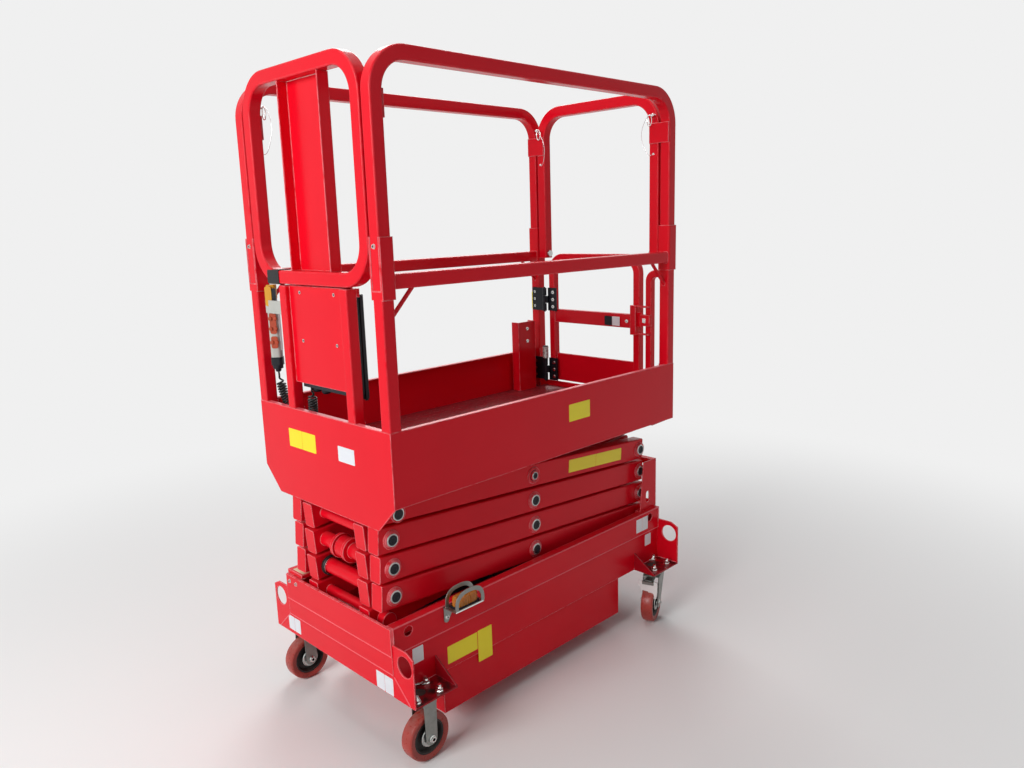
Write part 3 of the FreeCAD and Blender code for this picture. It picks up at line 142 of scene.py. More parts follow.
@dataclass(frozen=True)
class Finish:
    """A real surface: its colours, gloss, grain, dust and edge wear, with painted shade and painted highlight where
    a finish carries them.

    The tone drifts between base and shade over mottle metres, grain gives the relief, dust lies on faces that
    look up (on the caster seats that layer is near-black painted shade), and wear shows along edges (on the red
    coats it is a pale painted highlight); edges also catch the light as if rounded over the wear and highlight
    radius.
    """

    name: str
    base: str
    shade: str
    mottle: float = 0.15
    roughness: float = 0.4
    swing: float = 0.05
    metallic: float = 0.0
    ior: float = 1.5
    grain: float = 1.5 * MM
    depth: float = 0.03 * MM
    coat: float = 0.0
    dust_and_shade: str = "#B8ADA2"
    dust_and_shade_share: float = 0.0
    wear_and_highlight: str = "#FFFFFF"
    wear_and_highlight_share: float = 0.0
    wear_and_highlight_radius: float = 1.6 * MM
    see_through: float = 0.0
    specular: float = 0.5

    def material(self) -> bpy.types.Material:
        """Build the material once and hand it out again after that."""
        found = bpy.data.materials.get(self.name)
        if found:
            return found
        made = bpy.data.materials.new(self.name)
        made.use_nodes = True
        tree = made.node_tree
        tree.nodes.clear()
        place = add_node(tree, "ShaderNodeTexCoord").outputs["Object"]
        drift = add_node(tree, "ShaderNodeTexNoise", {"Vector": place, "Scale": 1 / self.mottle, "Detail": 4.0})
        tone = add_node(tree, "ShaderNodeMix",
                        {0: drift.outputs["Fac"], 6: linear(self.base), 7: linear(self.shade)},
                        data_type="RGBA").outputs[2]
        blotch_noise = add_node(tree, "ShaderNodeTexNoise", {"Vector": place, "Scale": 4 / self.mottle, "Detail": 2.0})
        surface = {}
        if self.wear_and_highlight_share:
            surface["Normal"] = add_node(tree, "ShaderNodeBevel", {"Radius": self.wear_and_highlight_radius},
                                         samples=4).outputs["Normal"]
            tone = self.worn_and_highlit(tree, place, tone, surface["Normal"])
        if self.dust_and_shade_share:
            tone = self.dusted_and_shaded(tree, blotch_noise.outputs["Fac"], tone)
        gloss = add_node(tree, "ShaderNodeMapRange", NOISE_SPAN | {
            "Value": blotch_noise.outputs["Fac"], "To Min": self.roughness - self.swing,
            "To Max": self.roughness + self.swing}).outputs["Result"]
        relief = add_node(tree, "ShaderNodeTexNoise", {"Vector": place, "Scale": 1 / self.grain, "Detail": 2.0})
        surface |= {"Height": relief.outputs["Fac"], "Distance": self.depth, "Strength": 1.0}
        bump = add_node(tree, "ShaderNodeBump", surface).outputs["Normal"]
        shader = add_node(tree, "ShaderNodeBsdfPrincipled",
                          {"Base Color": tone, "Roughness": gloss, "Normal": bump, "Metallic": self.metallic,
                           "Coat Weight": self.coat, "Coat Roughness": COAT_ROUGHNESS,
                           "Transmission Weight": self.see_through,
                           "Specular IOR Level": self.specular})
        if self.metallic < 0.5:
            shader.inputs["IOR"].default_value = self.ior
        add_node(tree, "ShaderNodeOutputMaterial", {"Surface": shader.outputs["BSDF"]})
        return made

    def worn_and_highlit(self, tree: Tree, place: Socket, tone: Socket, soft: Socket) -> Socket:
        """Paint the colour lighter along edges, in broken stretches: wear, and on the red coats a painted
        highlight.

        Args:
            tree: Tree of the material.
            place: Object coordinates.
            tone: Colour under the wear and painted highlight.
            soft: Normal that turns smoothly round the edges.

        Returns:
            The colour with the wear and painted highlight on it.
        """
        flat = add_node(tree, "ShaderNodeNewGeometry").outputs["Normal"]
        match = add_node(tree, "ShaderNodeVectorMath", {0: soft, 1: flat},
                         operation="DOT_PRODUCT").outputs["Value"]
        edge = add_node(tree, "ShaderNodeMapRange", EDGE_SPAN | {"Value": match})
        patch = add_node(tree, "ShaderNodeTexNoise", {"Vector": place, "Scale": WEAR_AND_HIGHLIGHT_SCALE, "Detail": 5.0})
        broken = add_node(tree, "ShaderNodeMapRange", WEAR_AND_HIGHLIGHT_SPAN | {"Value": patch.outputs["Fac"],
                                                                   "To Max": self.wear_and_highlight_share})
        share = add_node(tree, "ShaderNodeMath", {0: edge.outputs["Result"], 1: broken.outputs["Result"]},
                         operation="MULTIPLY").outputs["Value"]
        return add_node(tree, "ShaderNodeMix", {0: share, 6: tone, 7: linear(self.wear_and_highlight)},
                        data_type="RGBA").outputs[2]

    def dusted_and_shaded(self, tree: Tree, patches: Socket, tone: Socket) -> Socket:
        """Lay dust on the faces that look up; on the caster seats this layer is painted shade.

        Args:
            tree: Tree of the material.
            patches: Noise that breaks the dust and painted shade up.
            tone: Colour under the dust and painted shade.

        Returns:
            The colour with the dust and painted shade on it.
        """
        facing = add_node(tree, "ShaderNodeNewGeometry").outputs["Normal"]
        height = add_node(tree, "ShaderNodeSeparateXYZ", {"Vector": facing}).outputs["Z"]
        level = add_node(tree, "ShaderNodeMapRange",
                         DUST_AND_SHADE_RISE | {"Value": height, "To Max": self.dust_and_shade_share}).outputs["Result"]
        cloud = add_node(tree, "ShaderNodeMapRange", DUST_AND_SHADE_SPAN | {"Value": patches})
        share = add_node(tree, "ShaderNodeMath", {0: level, 1: cloud.outputs["Result"]},
                         operation="MULTIPLY").outputs["Value"]
        return add_node(tree, "ShaderNodeMix", {0: share, 6: tone, 7: linear(self.dust_and_shade)},
                        data_type="RGBA").outputs[2]


# Baked powder coat over steel: even colour, slight orange peel, edges painted lighter in broken stretches as a
# painted highlight.
# Its orange peel of about 2 mm and its light edges of about 1 mm are too fine for the picture, so they are drawn
# at 9 mm and 4 mm.
# Its pale pink edge colour is a painted highlight.
RED = Finish("red_powder_coat", "#E80D24", "#D9091F", mottle=0.3, roughness=0.25, swing=0.02, grain=9 * MM,
             depth=0.02 * MM, dust_and_shade="#8E5A55", dust_and_shade_share=0.15, wear_and_highlight="#FFA6AD", wear_and_highlight_share=0.9, wear_and_highlight_radius=4 * MM,
             specular=0.17)
# The same coat painted pale as a highlight: it draws rolled edges, a seam and rim tops as light lines.
HIGHLIGHT_PAINTED_RED = Finish("powder_coat_painted_as_highlight", "#F2717B", "#E85560", mottle=0.2, roughness=0.3,
                    swing=0.02,
                    grain=9 * MM, depth=0.02 * MM, specular=0.2)
# The same coat on caster seats, painted darker for the shade they lie in, with near-black painted shade on faces
# that look up and edges painted lighter as a highlight.
SHADE_PAINTED_RED = Finish("powder_coat_with_painted_shade", "#AE0A1C", "#8A0716", mottle=0.12, roughness=0.4, swing=0.1,
                    grain=9 * MM,
                    depth=0.03 * MM, dust_and_shade="#2A1413", dust_and_shade_share=1.0, wear_and_highlight="#F58A92", wear_and_highlight_share=0.7, specular=0.2)
# The same coat on tread plate that feet have scuffed.
DECK_RED = Finish("scuffed_deck_paint", "#980E1E", "#740E1A", mottle=0.09, roughness=0.5, swing=0.1,
                  grain=5 * MM, depth=0.04 * MM, dust_and_shade="#6A4240", dust_and_shade_share=0.3, wear_and_highlight="#C9A6A4", wear_and_highlight_share=0.8,
                  specular=0.2)
# Bright zinc plate: pale grey metal with faint cloudy spangle.
ZINC = Finish("bright_zinc_plate", "#C6C8C6", "#A9ABA8", mottle=0.03, roughness=0.3, swing=0.1, metallic=1.0,
              grain=0.6 * MM, depth=0.01 * MM)
# The same plate on small fasteners, rubbed bright by tools.
BRIGHT_ZINC = Finish("polished_zinc_fasteners", "#EEEFED", "#DADBD9", mottle=0.02, roughness=0.2, swing=0.06,
                     metallic=1.0, grain=2 * MM, depth=0.01 * MM)
# Dulled zinc on pressed caster forks.
DULL_ZINC = Finish("dulled_zinc_plate", "#9C9F9B", "#7C7F7B", mottle=0.05, roughness=0.42, swing=0.12,
                   metallic=1.0, grain=0.8 * MM, depth=0.02 * MM, dust_and_shade="#8A8178", dust_and_shade_share=0.3)
# Hard chrome on the lift rod: mirror bright and even.
CHROME = Finish("hard_chrome", "#D8DADB", "#CFD1D2", mottle=0.1, roughness=0.08, swing=0.03, metallic=1.0,
                grain=2.0 * MM, depth=0.002 * MM)
# Cast polyurethane tyre: waxy orange red, soiled brown where it rolls.
POLYURETHANE = Finish("cast_polyurethane", "#C2463C", "#742F29", mottle=0.05, roughness=0.33, swing=0.08,
                      grain=4 * MM, depth=0.06 * MM, dust_and_shade="#A88A80", dust_and_shade_share=0.4, specular=0.4)
# Cast iron wheel centre in black primer.
CAST_IRON = Finish("primed_cast_iron", "#26211F", "#171514", mottle=0.03, roughness=0.62, swing=0.08,
                   grain=0.8 * MM, depth=0.12 * MM, dust_and_shade="#6C625A", dust_and_shade_share=0.25)
# Gloss black enamel on the cylinder barrel.
BLACK_ENAMEL = Finish("black_enamel", "#151516", "#1E1E20", mottle=0.1, roughness=0.25, grain=1.5 * MM,
                      depth=0.02 * MM, coat=0.3)
# Glass filled nylon: black, fine moulded grain.
BLACK_NYLON = Finish("moulded_black_nylon", "#0E1017", "#171A22", mottle=0.04, roughness=0.45, grain=3 * MM,
                     depth=0.04 * MM, ior=1.53, specular=0.24)
# Soft black rubber of the cord and of sleeves.
BLACK_RUBBER = Finish("black_rubber", "#101011", "#1A1A1B", mottle=0.03, roughness=0.42, grain=3 * MM,
                      depth=0.03 * MM, ior=1.52, specular=0.3)
# Blank vinyl films with a soft gloss, painted brighter than the front's films to make up for the weaker light on
# the sides: painted light.
YELLOW_FILM = Finish("yellow_vinyl_film", "#FFEE10", "#FBE60E", mottle=0.06, roughness=0.32, swing=0.04,
                     grain=3 * MM, depth=0.01 * MM)
WHITE_FILM = Finish("white_vinyl_film", "#F3F5F7", "#EAEDF0", mottle=0.06, roughness=0.32, swing=0.04,
                    grain=3 * MM, depth=0.01 * MM)
# The same films on the front, painted a deeper yellow and a greyer white to take off the stronger key light there:
# painted shade.
PAINTED_DARKER_YELLOW_FILM = Finish("yellow_vinyl_film_painted_darker", "#F3E10C", "#EAD60A", mottle=0.06, roughness=0.4, swing=0.04,
                          grain=3 * MM, depth=0.01 * MM)
PAINTED_DARKER_WHITE_FILM = Finish("white_vinyl_film_painted_darker", "#E2E5EA", "#D9DCE2", mottle=0.06, roughness=0.4, swing=0.04,
                         grain=3 * MM, depth=0.01 * MM)
# Paper plate on the corner bracket, yellowed and dull.
CREAM_FILM = Finish("aged_paper_film", "#E2CDA6", "#D3BB90", mottle=0.02, roughness=0.6, grain=2 * MM,
                    depth=0.03 * MM)
# Moulded plastic of the hand control: satin yellow head, satin grey body, glossier keys.
YELLOW_CASE = Finish("moulded_yellow_case", "#DDA11A", "#CF9214", mottle=0.05, roughness=0.42, grain=0.5 * MM,
                     depth=0.04 * MM)
GREY_CASE = Finish("moulded_grey_case", "#B9BAB4", "#A8A9A3", mottle=0.05, roughness=0.42, grain=0.5 * MM,
                   depth=0.04 * MM)
ORANGE_KEYS = Finish("orange_key_pads", "#B4431C", "#9F3716", mottle=0.03, roughness=0.36, grain=0.8 * MM,
                     depth=0.02 * MM)
# White enamel on the pressed brake pedal, chipped at its edges.
WHITE_ENAMEL = Finish("white_pedal_enamel", "#F6F7F5", "#EAEBE8", mottle=0.03, roughness=0.36, grain=1 * MM,
                      depth=0.03 * MM, dust_and_shade="#8A8178", dust_and_shade_share=0.35, wear_and_highlight="#8C8C88", wear_and_highlight_share=0.7)
# Clear amber acrylic lens.
AMBER = Finish("amber_acrylic", "#F09A26", "#DB7F14", mottle=0.02, roughness=0.1, swing=0.03, ior=1.49,
               grain=3 * MM, depth=0.02 * MM, see_through=0.45)


# Meshes

SHARP_DEG = 32.0
MERGE = 0.02 * MM  # Points of a node that lie closer are one.
FLAT_DEG = 0.6  # Faces that turn less are one face.
TIP = 0.001 * MM  # Radius under which a turned profile comes to a point.


def link(name: str, data: bpy.types.ID) -> Thing:
    """Put a mesh, curve, lamp or camera in the scene as an object at the origin."""
    thing = bpy.data.objects.new(name, data)
    bpy.context.scene.collection.objects.link(thing)
    return thing


def smooth(thing: Thing, bevel: float, sharp_deg: float = SHARP_DEG) -> None:
    """Shade a piece smooth between its sharp edges and round those off.

    Args:
        thing: Piece to finish.
        bevel: Width of the rounding, none at 0.
        sharp_deg: Angle from which an edge counts as sharp.
    """
    mesh = thing.data
    mesh.shade_smooth()
    mesh.set_sharp_from_angle(angle=math.radians(sharp_deg))
    if bevel:
        rounding = thing.modifiers.new("edge_rounding", "BEVEL")
        rounding.width, rounding.segments = bevel, 2
        rounding.limit_method, rounding.angle_limit = "ANGLE", math.radians(sharp_deg + 6)
        thing.modifiers.new("flat_faces", "WEIGHTED_NORMAL").keep_sharp = True


def dress(node: str, finish: Finish, bevel: float = 1.0 * MM,
          trim: Callable[[bmesh.types.BMesh], None] | None = None,
          second: tuple[Finish, Callable[[Vector], bool]] | None = None) -> None:
    """Stand a merged copy of a node, with rounded edges, in the node's place.

    Args:
        node: CAD node.
        finish: Its surface.
        bevel: Width of the edge rounding.
        trim: Small change to the merged copy.
        second: Another surface, and the test for the middles of the faces that get it.
    """
    mesh = frame["nodes"][node].data.copy()
    shape = bmesh.new()
    shape.from_mesh(mesh)
    bmesh.ops.remove_doubles(shape, verts=shape.verts, dist=MERGE)
    bmesh.ops.dissolve_limit(shape, angle_limit=math.radians(FLAT_DEG), verts=shape.verts, edges=shape.edges)
    if trim:
        trim(shape)
    for face in shape.faces:
        face.material_index = int(bool(second) and second[1](face.calc_center_median()))
    mesh.materials.clear()
    shape.to_mesh(mesh)
    shape.free()
    for surface in (finish,) + ((second[0],) if second else ()):
        mesh.materials.append(surface.material())
    thing = link(f"{node}_finished", mesh)
    smooth(thing, bevel)
    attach(thing, BODY_OF[node])
    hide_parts(node)


def rounded(width: float, height: float, radius: float, steps: int = 5) -> list[Pair]:
    """Outline of a rectangle with rounded corners about the origin.

    Args:
        width: Its whole width.
        height: Its whole height.
        radius: Radius of the corners.
        steps: Runs round each corner.

    Returns:
        Its points, going left.
    """
    points = []
    for quarter, (cx, cy) in enumerate(((1, 1), (-1, 1), (-1, -1), (1, -1))):
        for step in range(steps + 1):
            angle = math.radians(90 * (quarter + step / steps))
            points.append((cx * (width / 2 - radius) + radius * math.cos(angle),
                           cy * (height / 2 - radius) + radius * math.sin(angle)))
    return points


class Piece:
    """One mesh under construction, from turned, flat and drawn shapes."""

    def __init__(self, name: str) -> None:
        """Start an empty piece with a name."""
        self.name = name
        self.shape = bmesh.new()
        self.finishes: list[Finish] = []

    def index(self, finish: Finish) -> int:
        """Number of a finish in the piece, added if it is new."""
        if finish not in self.finishes:
            self.finishes.append(finish)
        return self.finishes.index(finish)

    def skin(self, outlines: Sequence[Sequence[Point]], finish: Finish, loop: bool = False,
             capped: bool = False) -> None:
        """Join neighbouring outlines with faces.

        Args:
            outlines: Outlines of equal length, or of a single point at a tip.
            finish: Surface of the faces.
            loop: True where the last outline joins the first.
            capped: True where a face closes the first and the last outline.
        """
        rings = [[self.shape.verts.new(spot) for spot in outline] for outline in outlines]
        number = self.index(finish)
        pairs = list(zip(rings, rings[1:])) + ([(rings[-1], rings[0])] if loop else [])
        for lower, upper in pairs:
            count = max(len(lower), len(upper))
            for i in range(count):
                j = (i + 1) % count
                corners = [lower[i % len(lower)], lower[j % len(lower)], upper[j % len(upper)],
                           upper[i % len(upper)]]
                unique = list(dict.fromkeys(corners))
                if len(unique) > 2:
                    self.shape.faces.new(unique).material_index = number
        for ring in (rings[0], rings[-1]) if capped else ():
            self.shape.faces.new(ring).material_index = number

    def turned(self, finish: Finish, profile: Sequence[Pair], centre: Point,
               axis: Point, steps: int = 40, loop: bool = False) -> None:
        """Add a shape turned on a lathe.

        Args:
            finish: Its surface.
            profile: Radius and height of each point, height running along the axis.
            centre: Point of height zero.
            axis: Direction of the axis.
            steps: Faces round the axis.
            loop: True for a ring whose profile closes on itself.
        """
        turn = Vector(axis).normalized().to_track_quat("Z", "Y")
        rings = []
        for radius, height in profile:
            ways = angles(steps) if radius >= TIP else [0.0]
            rings.append([Vector(centre) + turn @ Vector((radius * math.cos(a), radius * math.sin(a), height))
                          for a in ways])
        self.skin(rings, finish, loop)

    def slab(self, finish: Finish, outline: Iterable[Pair], origin: Point,
             across: Point, up: Point, thickness: float) -> None:
        """Add a flat shape that grows along across x up.

        Args:
            finish: Its surface.
            outline: Points along across and up from the origin.
            origin: Point of the back face.
            across: Direction of the outline's first number.
            up: Direction of its second number.
            thickness: How far it stands out.
        """
        u, w = Vector(across).normalized(), Vector(up).normalized()
        push = u.cross(w) * thickness
        back = [Vector(origin) + u * a + w * b for a, b in outline]
        self.skin([back, [spot + push for spot in back]], finish, capped=True)

    def block(self, finish: Finish, low: Point, high: Point) -> None:
        """Add a block between two corners.

        Args:
            finish: Its surface.
            low: Lowest corner.
            high: Highest corner.
        """
        a, b = Vector(low), Vector(high)
        outline = [(0, 0), (b.x - a.x, 0), (b.x - a.x, b.y - a.y), (0, b.y - a.y)]
        self.slab(finish, outline, a, X_AXIS, Y_AXIS, b.z - a.z)

    def drawn(self, finish: Finish, points: Sequence[Vector], radius: float, steps: int = 10,
              loop: bool = False) -> None:
        """Add a round wire that follows points.

        Args:
            finish: Its surface.
            points: Centre line.
            radius: Radius of the wire.
            steps: Faces round it.
            loop: True for a closed ring.
        """
        line = [Vector(p) for p in points]
        rings, side = [], None
        for i, point in enumerate(line):
            before = line[i - 1] if i or loop else point
            after = line[(i + 1) % len(line)] if i + 1 < len(line) or loop else point
            along = (after - before).normalized()
            side = along.orthogonal() if side is None else side - along * side.dot(along)
            side.normalize()
            other = along.cross(side)
            rings.append([point + (side * math.cos(a) + other * math.sin(a)) * radius for a in angles(steps)])
        self.skin(rings, finish, loop, not loop)

    def done(self, body: str, bevel: float = 0.0, replaces: Sequence[str] = (), slot: str | None = None,
             sharp_deg: float = SHARP_DEG) -> None:
        """Finish the mesh and let it ride.

        Args:
            body: Body that carries the piece.
            bevel: Width of the edge rounding.
            replaces: Nodes that the piece stands for.
            slot: Material slot of the record; not used.
            sharp_deg: Angle from which an edge counts as sharp.
        """
        bmesh.ops.recalc_face_normals(self.shape, faces=self.shape.faces)
        mesh = bpy.data.meshes.new(self.name)
        self.shape.to_mesh(mesh)
        self.shape.free()
        for finish in self.finishes:
            mesh.materials.append(finish.material())
        thing = link(self.name, mesh)
        smooth(thing, bevel, sharp_deg)
        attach(thing, body)
        if replaces:
            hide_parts(*replaces)
        LOG.info("%s rides on %s", self.name, body)


def strand(name: str, points: Sequence[Point], radius: float, sides: int, steps: int,
           finish: Finish | None = None) -> Thing:
    """Add an open curve that starts and ends on its end points.

    Args:
        name: Name of the object.
        points: Control points.
        radius: Radius of the wire, 0 for a bare line.
        sides: Steps of a quarter of its round.
        steps: Steps from one control point to the next.
        finish: Surface of the wire.

    Returns:
        The curve object.
    """
    curve = bpy.data.curves.new(name, "CURVE")
    curve.dimensions, curve.bevel_depth, curve.bevel_resolution, curve.resolution_u = "3D", radius, sides, steps
    spline = curve.splines.new("NURBS")
    spline.points.add(len(points) - 1)
    for point, place in zip(spline.points, points):
        point.co = (*place, 1.0)
    spline.order_u, spline.use_endpoint_u = 3, True
    if finish:
        curve.materials.append(finish.material())
    return link(name, curve)


def traced(points: Sequence[Point], steps: int) -> list[Vector]:
    """Close points along the curve that control points give.

    Args:
        points: Control points.
        steps: Steps from one control point to the next.

    Returns:
        The points, from end to end.
    """
    guide = strand("guide", points, 0.0, 0, steps)
    bpy.context.view_layer.update()
    seen = guide.evaluated_get(bpy.context.evaluated_depsgraph_get())
    line = [vert.co.copy() for vert in bpy.data.meshes.new_from_object(seen).vertices]
    bpy.data.objects.remove(guide)
    return line


def travelled(line: Sequence[Vector]) -> float:
    """Length of a line of points."""
    return sum((after - before).length for before, after in zip(line, line[1:]))


def mirrored(half: Sequence[Pair]) -> list[Pair]:
    """Whole profile of a part that is the same above and below height zero, from its lower half."""
    return [*half, *((radius, -height) for radius, height in reversed(half) if height)]


# Patterns made by geometry nodes


def pattern_tree(name: str, *sizes: str, **others: str) -> tuple[Tree, bpy.types.NodeOutputs]:
    """Start a geometry tree with a geometry, named inputs and a material.

    Args:
        name: Name of the tree.
        *sizes: Names of its number inputs.
        **others: Names of other inputs with their socket types.

    Returns:
        The tree and the outputs of its group input.
    """
    tree = bpy.data.node_groups.new(name, "GeometryNodeTree")
    kinds = {"Geometry": "NodeSocketGeometry"} | dict.fromkeys(sizes, "NodeSocketFloat") | others
    for label, kind in (kinds | {"Material": "NodeSocketMaterial"}).items():
        tree.interface.new_socket(label, in_out="INPUT", socket_type=kind)
    tree.interface.new_socket("Geometry", in_out="OUTPUT", socket_type="NodeSocketGeometry")
    return tree, add_node(tree, "NodeGroupInput").outputs


def close_tree(tree: Tree, given: bpy.types.NodeOutputs, shape: Socket, points: Socket | None = None,
               **inputs: object) -> Tree:
    """End a tree in realised instances of a shape on points, with a material.

    Args:
        tree: Tree to end.
        given: Outputs of its group input.
        shape: Geometry of one instance.
        points: Points, or else the points of the given mesh.
        **inputs: Rotation or scale of the instances.

    Returns:
        The tree.
    """
    if not points:
        points = add_node(tree, "GeometryNodeMeshToPoints", {"Mesh": given["Geometry"]}).outputs["Points"]
    geometry = add_node(tree, "GeometryNodeInstanceOnPoints",
                        {"Points": points, "Instance": shape} | inputs).outputs["Instances"]
    real = add_node(tree, "GeometryNodeRealizeInstances", {"Geometry": geometry}).outputs["Geometry"]
    coated = add_node(tree, "GeometryNodeSetMaterial", {"Geometry": real, "Material": given["Material"]})
    add_node(tree, "NodeGroupOutput", {"Geometry": coated.outputs["Geometry"]})
    return tree


def turned_to_facing(tree: Tree, axis: str) -> Socket:
    """Rotation that turns an axis to each point's stored facing."""
    facing = add_node(tree, "GeometryNodeInputNamedAttribute", {"Name": "facing"}, data_type="FLOAT_VECTOR")
    return add_node(tree, "FunctionNodeAlignRotationToVector", {"Vector": facing.outputs["Attribute"]},
                    axis=axis).outputs["Rotation"]


STUB_SHARE = 0.56  # Thread radius over the hexagon's corner radius.
SCALE_SPREAD = (0.85, 1.15)  # Smallest and largest scale of a weld bead.


def bolt_tree() -> Tree:
    """Hexagon head on a washer with a stub of thread, set on every point and turned to its facing."""
    tree, given = pattern_tree("bolt_heads", "Head Radius", "Head Height", "Washer Radius", "Washer Height",
                               "Stub Height")
    stub_radius = add_node(tree, "ShaderNodeMath", {0: given["Head Radius"], 1: STUB_SHARE}, operation="MULTIPLY")
    stub_height = add_node(tree, "ShaderNodeMath", {0: given["Stub Height"], 1: given["Head Height"]},
                           operation="ADD")
    join = add_node(tree, "GeometryNodeJoinGeometry")
    for sides, radius, height, below in (
            (20, given["Washer Radius"], given["Washer Height"], 0.0),
            (6, given["Head Radius"], given["Head Height"], given["Washer Height"]),
            (14, stub_radius.outputs["Value"], stub_height.outputs["Value"], given["Washer Height"])):
        drum = add_node(tree, "GeometryNodeMeshCylinder", {"Vertices": sides, "Radius": radius, "Depth": height})
        lift = add_node(tree, "ShaderNodeMath", {0: height, 1: 0.5, 2: below}, operation="MULTIPLY_ADD")
        spot = add_node(tree, "ShaderNodeCombineXYZ", {"Z": lift.outputs["Value"]}).outputs["Vector"]
        part = add_node(tree, "GeometryNodeTransform", {"Geometry": drum.outputs["Mesh"], "Translation": spot})
        tree.links.new(part.outputs["Geometry"], join.inputs["Geometry"])
    return close_tree(tree, given, join.outputs["Geometry"], Rotation=turned_to_facing(tree, "Z"))


def bead_tree() -> Tree:
    """Overlapping scales of a weld bead along edges."""
    tree, given = pattern_tree("weld_beads", "Pitch", "Bead Radius", Seed="NodeSocketInt")
    line = add_node(tree, "GeometryNodeMeshToCurve", {"Mesh": given["Geometry"]}).outputs["Curve"]
    spots = add_node(tree, "GeometryNodeResampleCurve", {"Curve": line, "Length": given["Pitch"]},
                     mode="LENGTH")
    scale = add_node(tree, "GeometryNodeMeshUVSphere", {"Segments": 8, "Rings": 5,
                                                        "Radius": given["Bead Radius"]}).outputs["Mesh"]
    chance = add_node(tree, "FunctionNodeRandomValue",
                      {2: SCALE_SPREAD[0], 3: SCALE_SPREAD[1], "Seed": given["Seed"]},
                      data_type="FLOAT").outputs[1]
    return close_tree(tree, given, scale, spots.outputs["Curve"], Scale=chance)


def lug_tree() -> Tree:
    """Low pointed lugs of tread plate, each along its facing."""
    tree, given = pattern_tree("tread_lugs", Lug="NodeSocketVector")
    ball = add_node(tree, "GeometryNodeMeshUVSphere", {"Segments": 8, "Rings": 4, "Radius": 0.5}).outputs["Mesh"]
    lug = add_node(tree, "GeometryNodeTransform", {"Geometry": ball, "Scale": given["Lug"]})
    return close_tree(tree, given, lug.outputs["Geometry"], Rotation=turned_to_facing(tree, "X"))


def spring_tree() -> Tree:
    """Closed coil spring that stands on the points' own place."""
    tree, given = pattern_tree("coil_spring", "Turns", "Coil Radius", "Height", "Wire Radius")
    coil = add_node(tree, "GeometryNodeCurveSpiral",
                    {"Resolution": 20, "Rotations": given["Turns"],
                     "Start Radius": given["Coil Radius"], "End Radius": given["Coil Radius"],
                     "Height": given["Height"]}).outputs["Curve"]
    wire = add_node(tree, "GeometryNodeCurvePrimitiveCircle", {"Resolution": 8,
                                                               "Radius": given["Wire Radius"]})
    body = add_node(tree, "GeometryNodeCurveToMesh", {"Curve": coil, "Profile Curve": wire.outputs["Curve"],
                                                      "Fill Caps": True}).outputs["Mesh"]
    return close_tree(tree, given, body)


class Pattern(Enum):
    """The repeated shapes, by the names of their trees."""

    BOLTS = "bolt_heads"
    BEADS = "weld_beads"
    LUGS = "tread_lugs"
    SPRING = "coil_spring"

    def tree(self) -> Tree:
        """Tree of the pattern, built once."""
        makers: dict[str, Callable[[], Tree]] = {
            "bolt_heads": bolt_tree, "weld_beads": bead_tree, "tread_lugs": lug_tree, "coil_spring": spring_tree}
        return bpy.data.node_groups.get(self.value) or makers[self.value]()


def patterned(name: str, pattern: Pattern, places: Sequence[Vector], facings: Sequence[Vector], body: str,
              finish: Finish, runs: Sequence[tuple[int, int]] = (), **values: object) -> None:
    """Bake a pattern on points or runs into a plain mesh that rides on a body.

    Args:
        name: Name of the piece.
        pattern: Repeated shape.
        places: Points.
        facings: Direction at each point.
        body: Body that carries the piece.
        finish: Surface.
        runs: Pairs of point numbers joined by an edge, for beads.
        **values: Named inputs of the tree, with _ for a space.
    """
    base = bpy.data.meshes.new(f"{name}_points")
    base.from_pydata([tuple(p) for p in places], [tuple(r) for r in runs], [])
    if facings:
        stored = base.attributes.new("facing", "FLOAT_VECTOR", "POINT")
        stored.data.foreach_set("vector", [c for f in facings for c in f])
    carrier = link(f"{name}_carrier", base)
    modifier = carrier.modifiers.new("pattern", "NODES")
    modifier.node_group = pattern.tree()
    settings = {key.replace("_", " "): value for key, value in values.items()} | {"Material": finish.material()}
    for socket in modifier.node_group.interface.items_tree:
        if socket.in_out == "INPUT" and socket.name in settings:
            modifier[socket.identifier] = settings[socket.name]
    bpy.context.view_layer.update()
    shown = carrier.evaluated_get(bpy.context.evaluated_depsgraph_get())
    mesh = bpy.data.meshes.new_from_object(shown)
    mesh.name = name
    bpy.data.objects.remove(carrier)
    thing = link(name, mesh)
    mesh.shade_smooth()
    mesh.set_sharp_from_angle(angle=math.radians(SHARP_DEG + 2))
    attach(thing, body)
    LOG.info("%s: %d of %s on %s", name, len(places), pattern.value, body)


@dataclass(frozen=True)
class BoltSize:
    """Head, washer and thread stub of a bolt."""

    label: str
    head: float
    height: float
    washer: float
    washer_height: float = 1.6 * MM
    stub: float = 0.0


M10 = BoltSize("m10", 9.2 * MM, 6.4 * MM, 10.5 * MM)
M12_STUD = BoltSize("m12_stud", 10.6 * MM, 9.0 * MM, 12.5 * MM, 2.2 * MM, 9.0 * MM)
M6 = BoltSize("m6", 5.6 * MM, 3.6 * MM, 6.8 * MM, 1.2 * MM)


@dataclass
class Fasteners:
    """Bolts of the whole machine, gathered by body and size and baked at the end."""

    groups: dict[tuple[str, BoltSize], list[tuple[Vector, Vector]]] = field(default_factory=dict)

    def add(self, body: str, size: BoltSize, place: Point, facing: Point) -> None:
        """Note one bolt: its body, size, seat and the way its head looks."""
        self.groups.setdefault((body, size), []).append((Vector(place), Vector(facing)))

    def bake(self) -> None:
        """Turn every group into one piece."""
        for (body, size), bolts in self.groups.items():
            patterned(f"{body}_{size.label}_bolts", Pattern.BOLTS, [p for p, _ in bolts], [f for _, f in bolts],
                      body,
                      BRIGHT_ZINC, Head_Radius=size.head, Head_Height=size.height, Washer_Radius=size.washer,
                      Washer_Height=size.washer_height, Stub_Height=size.stub)


BOLTS = Fasteners()


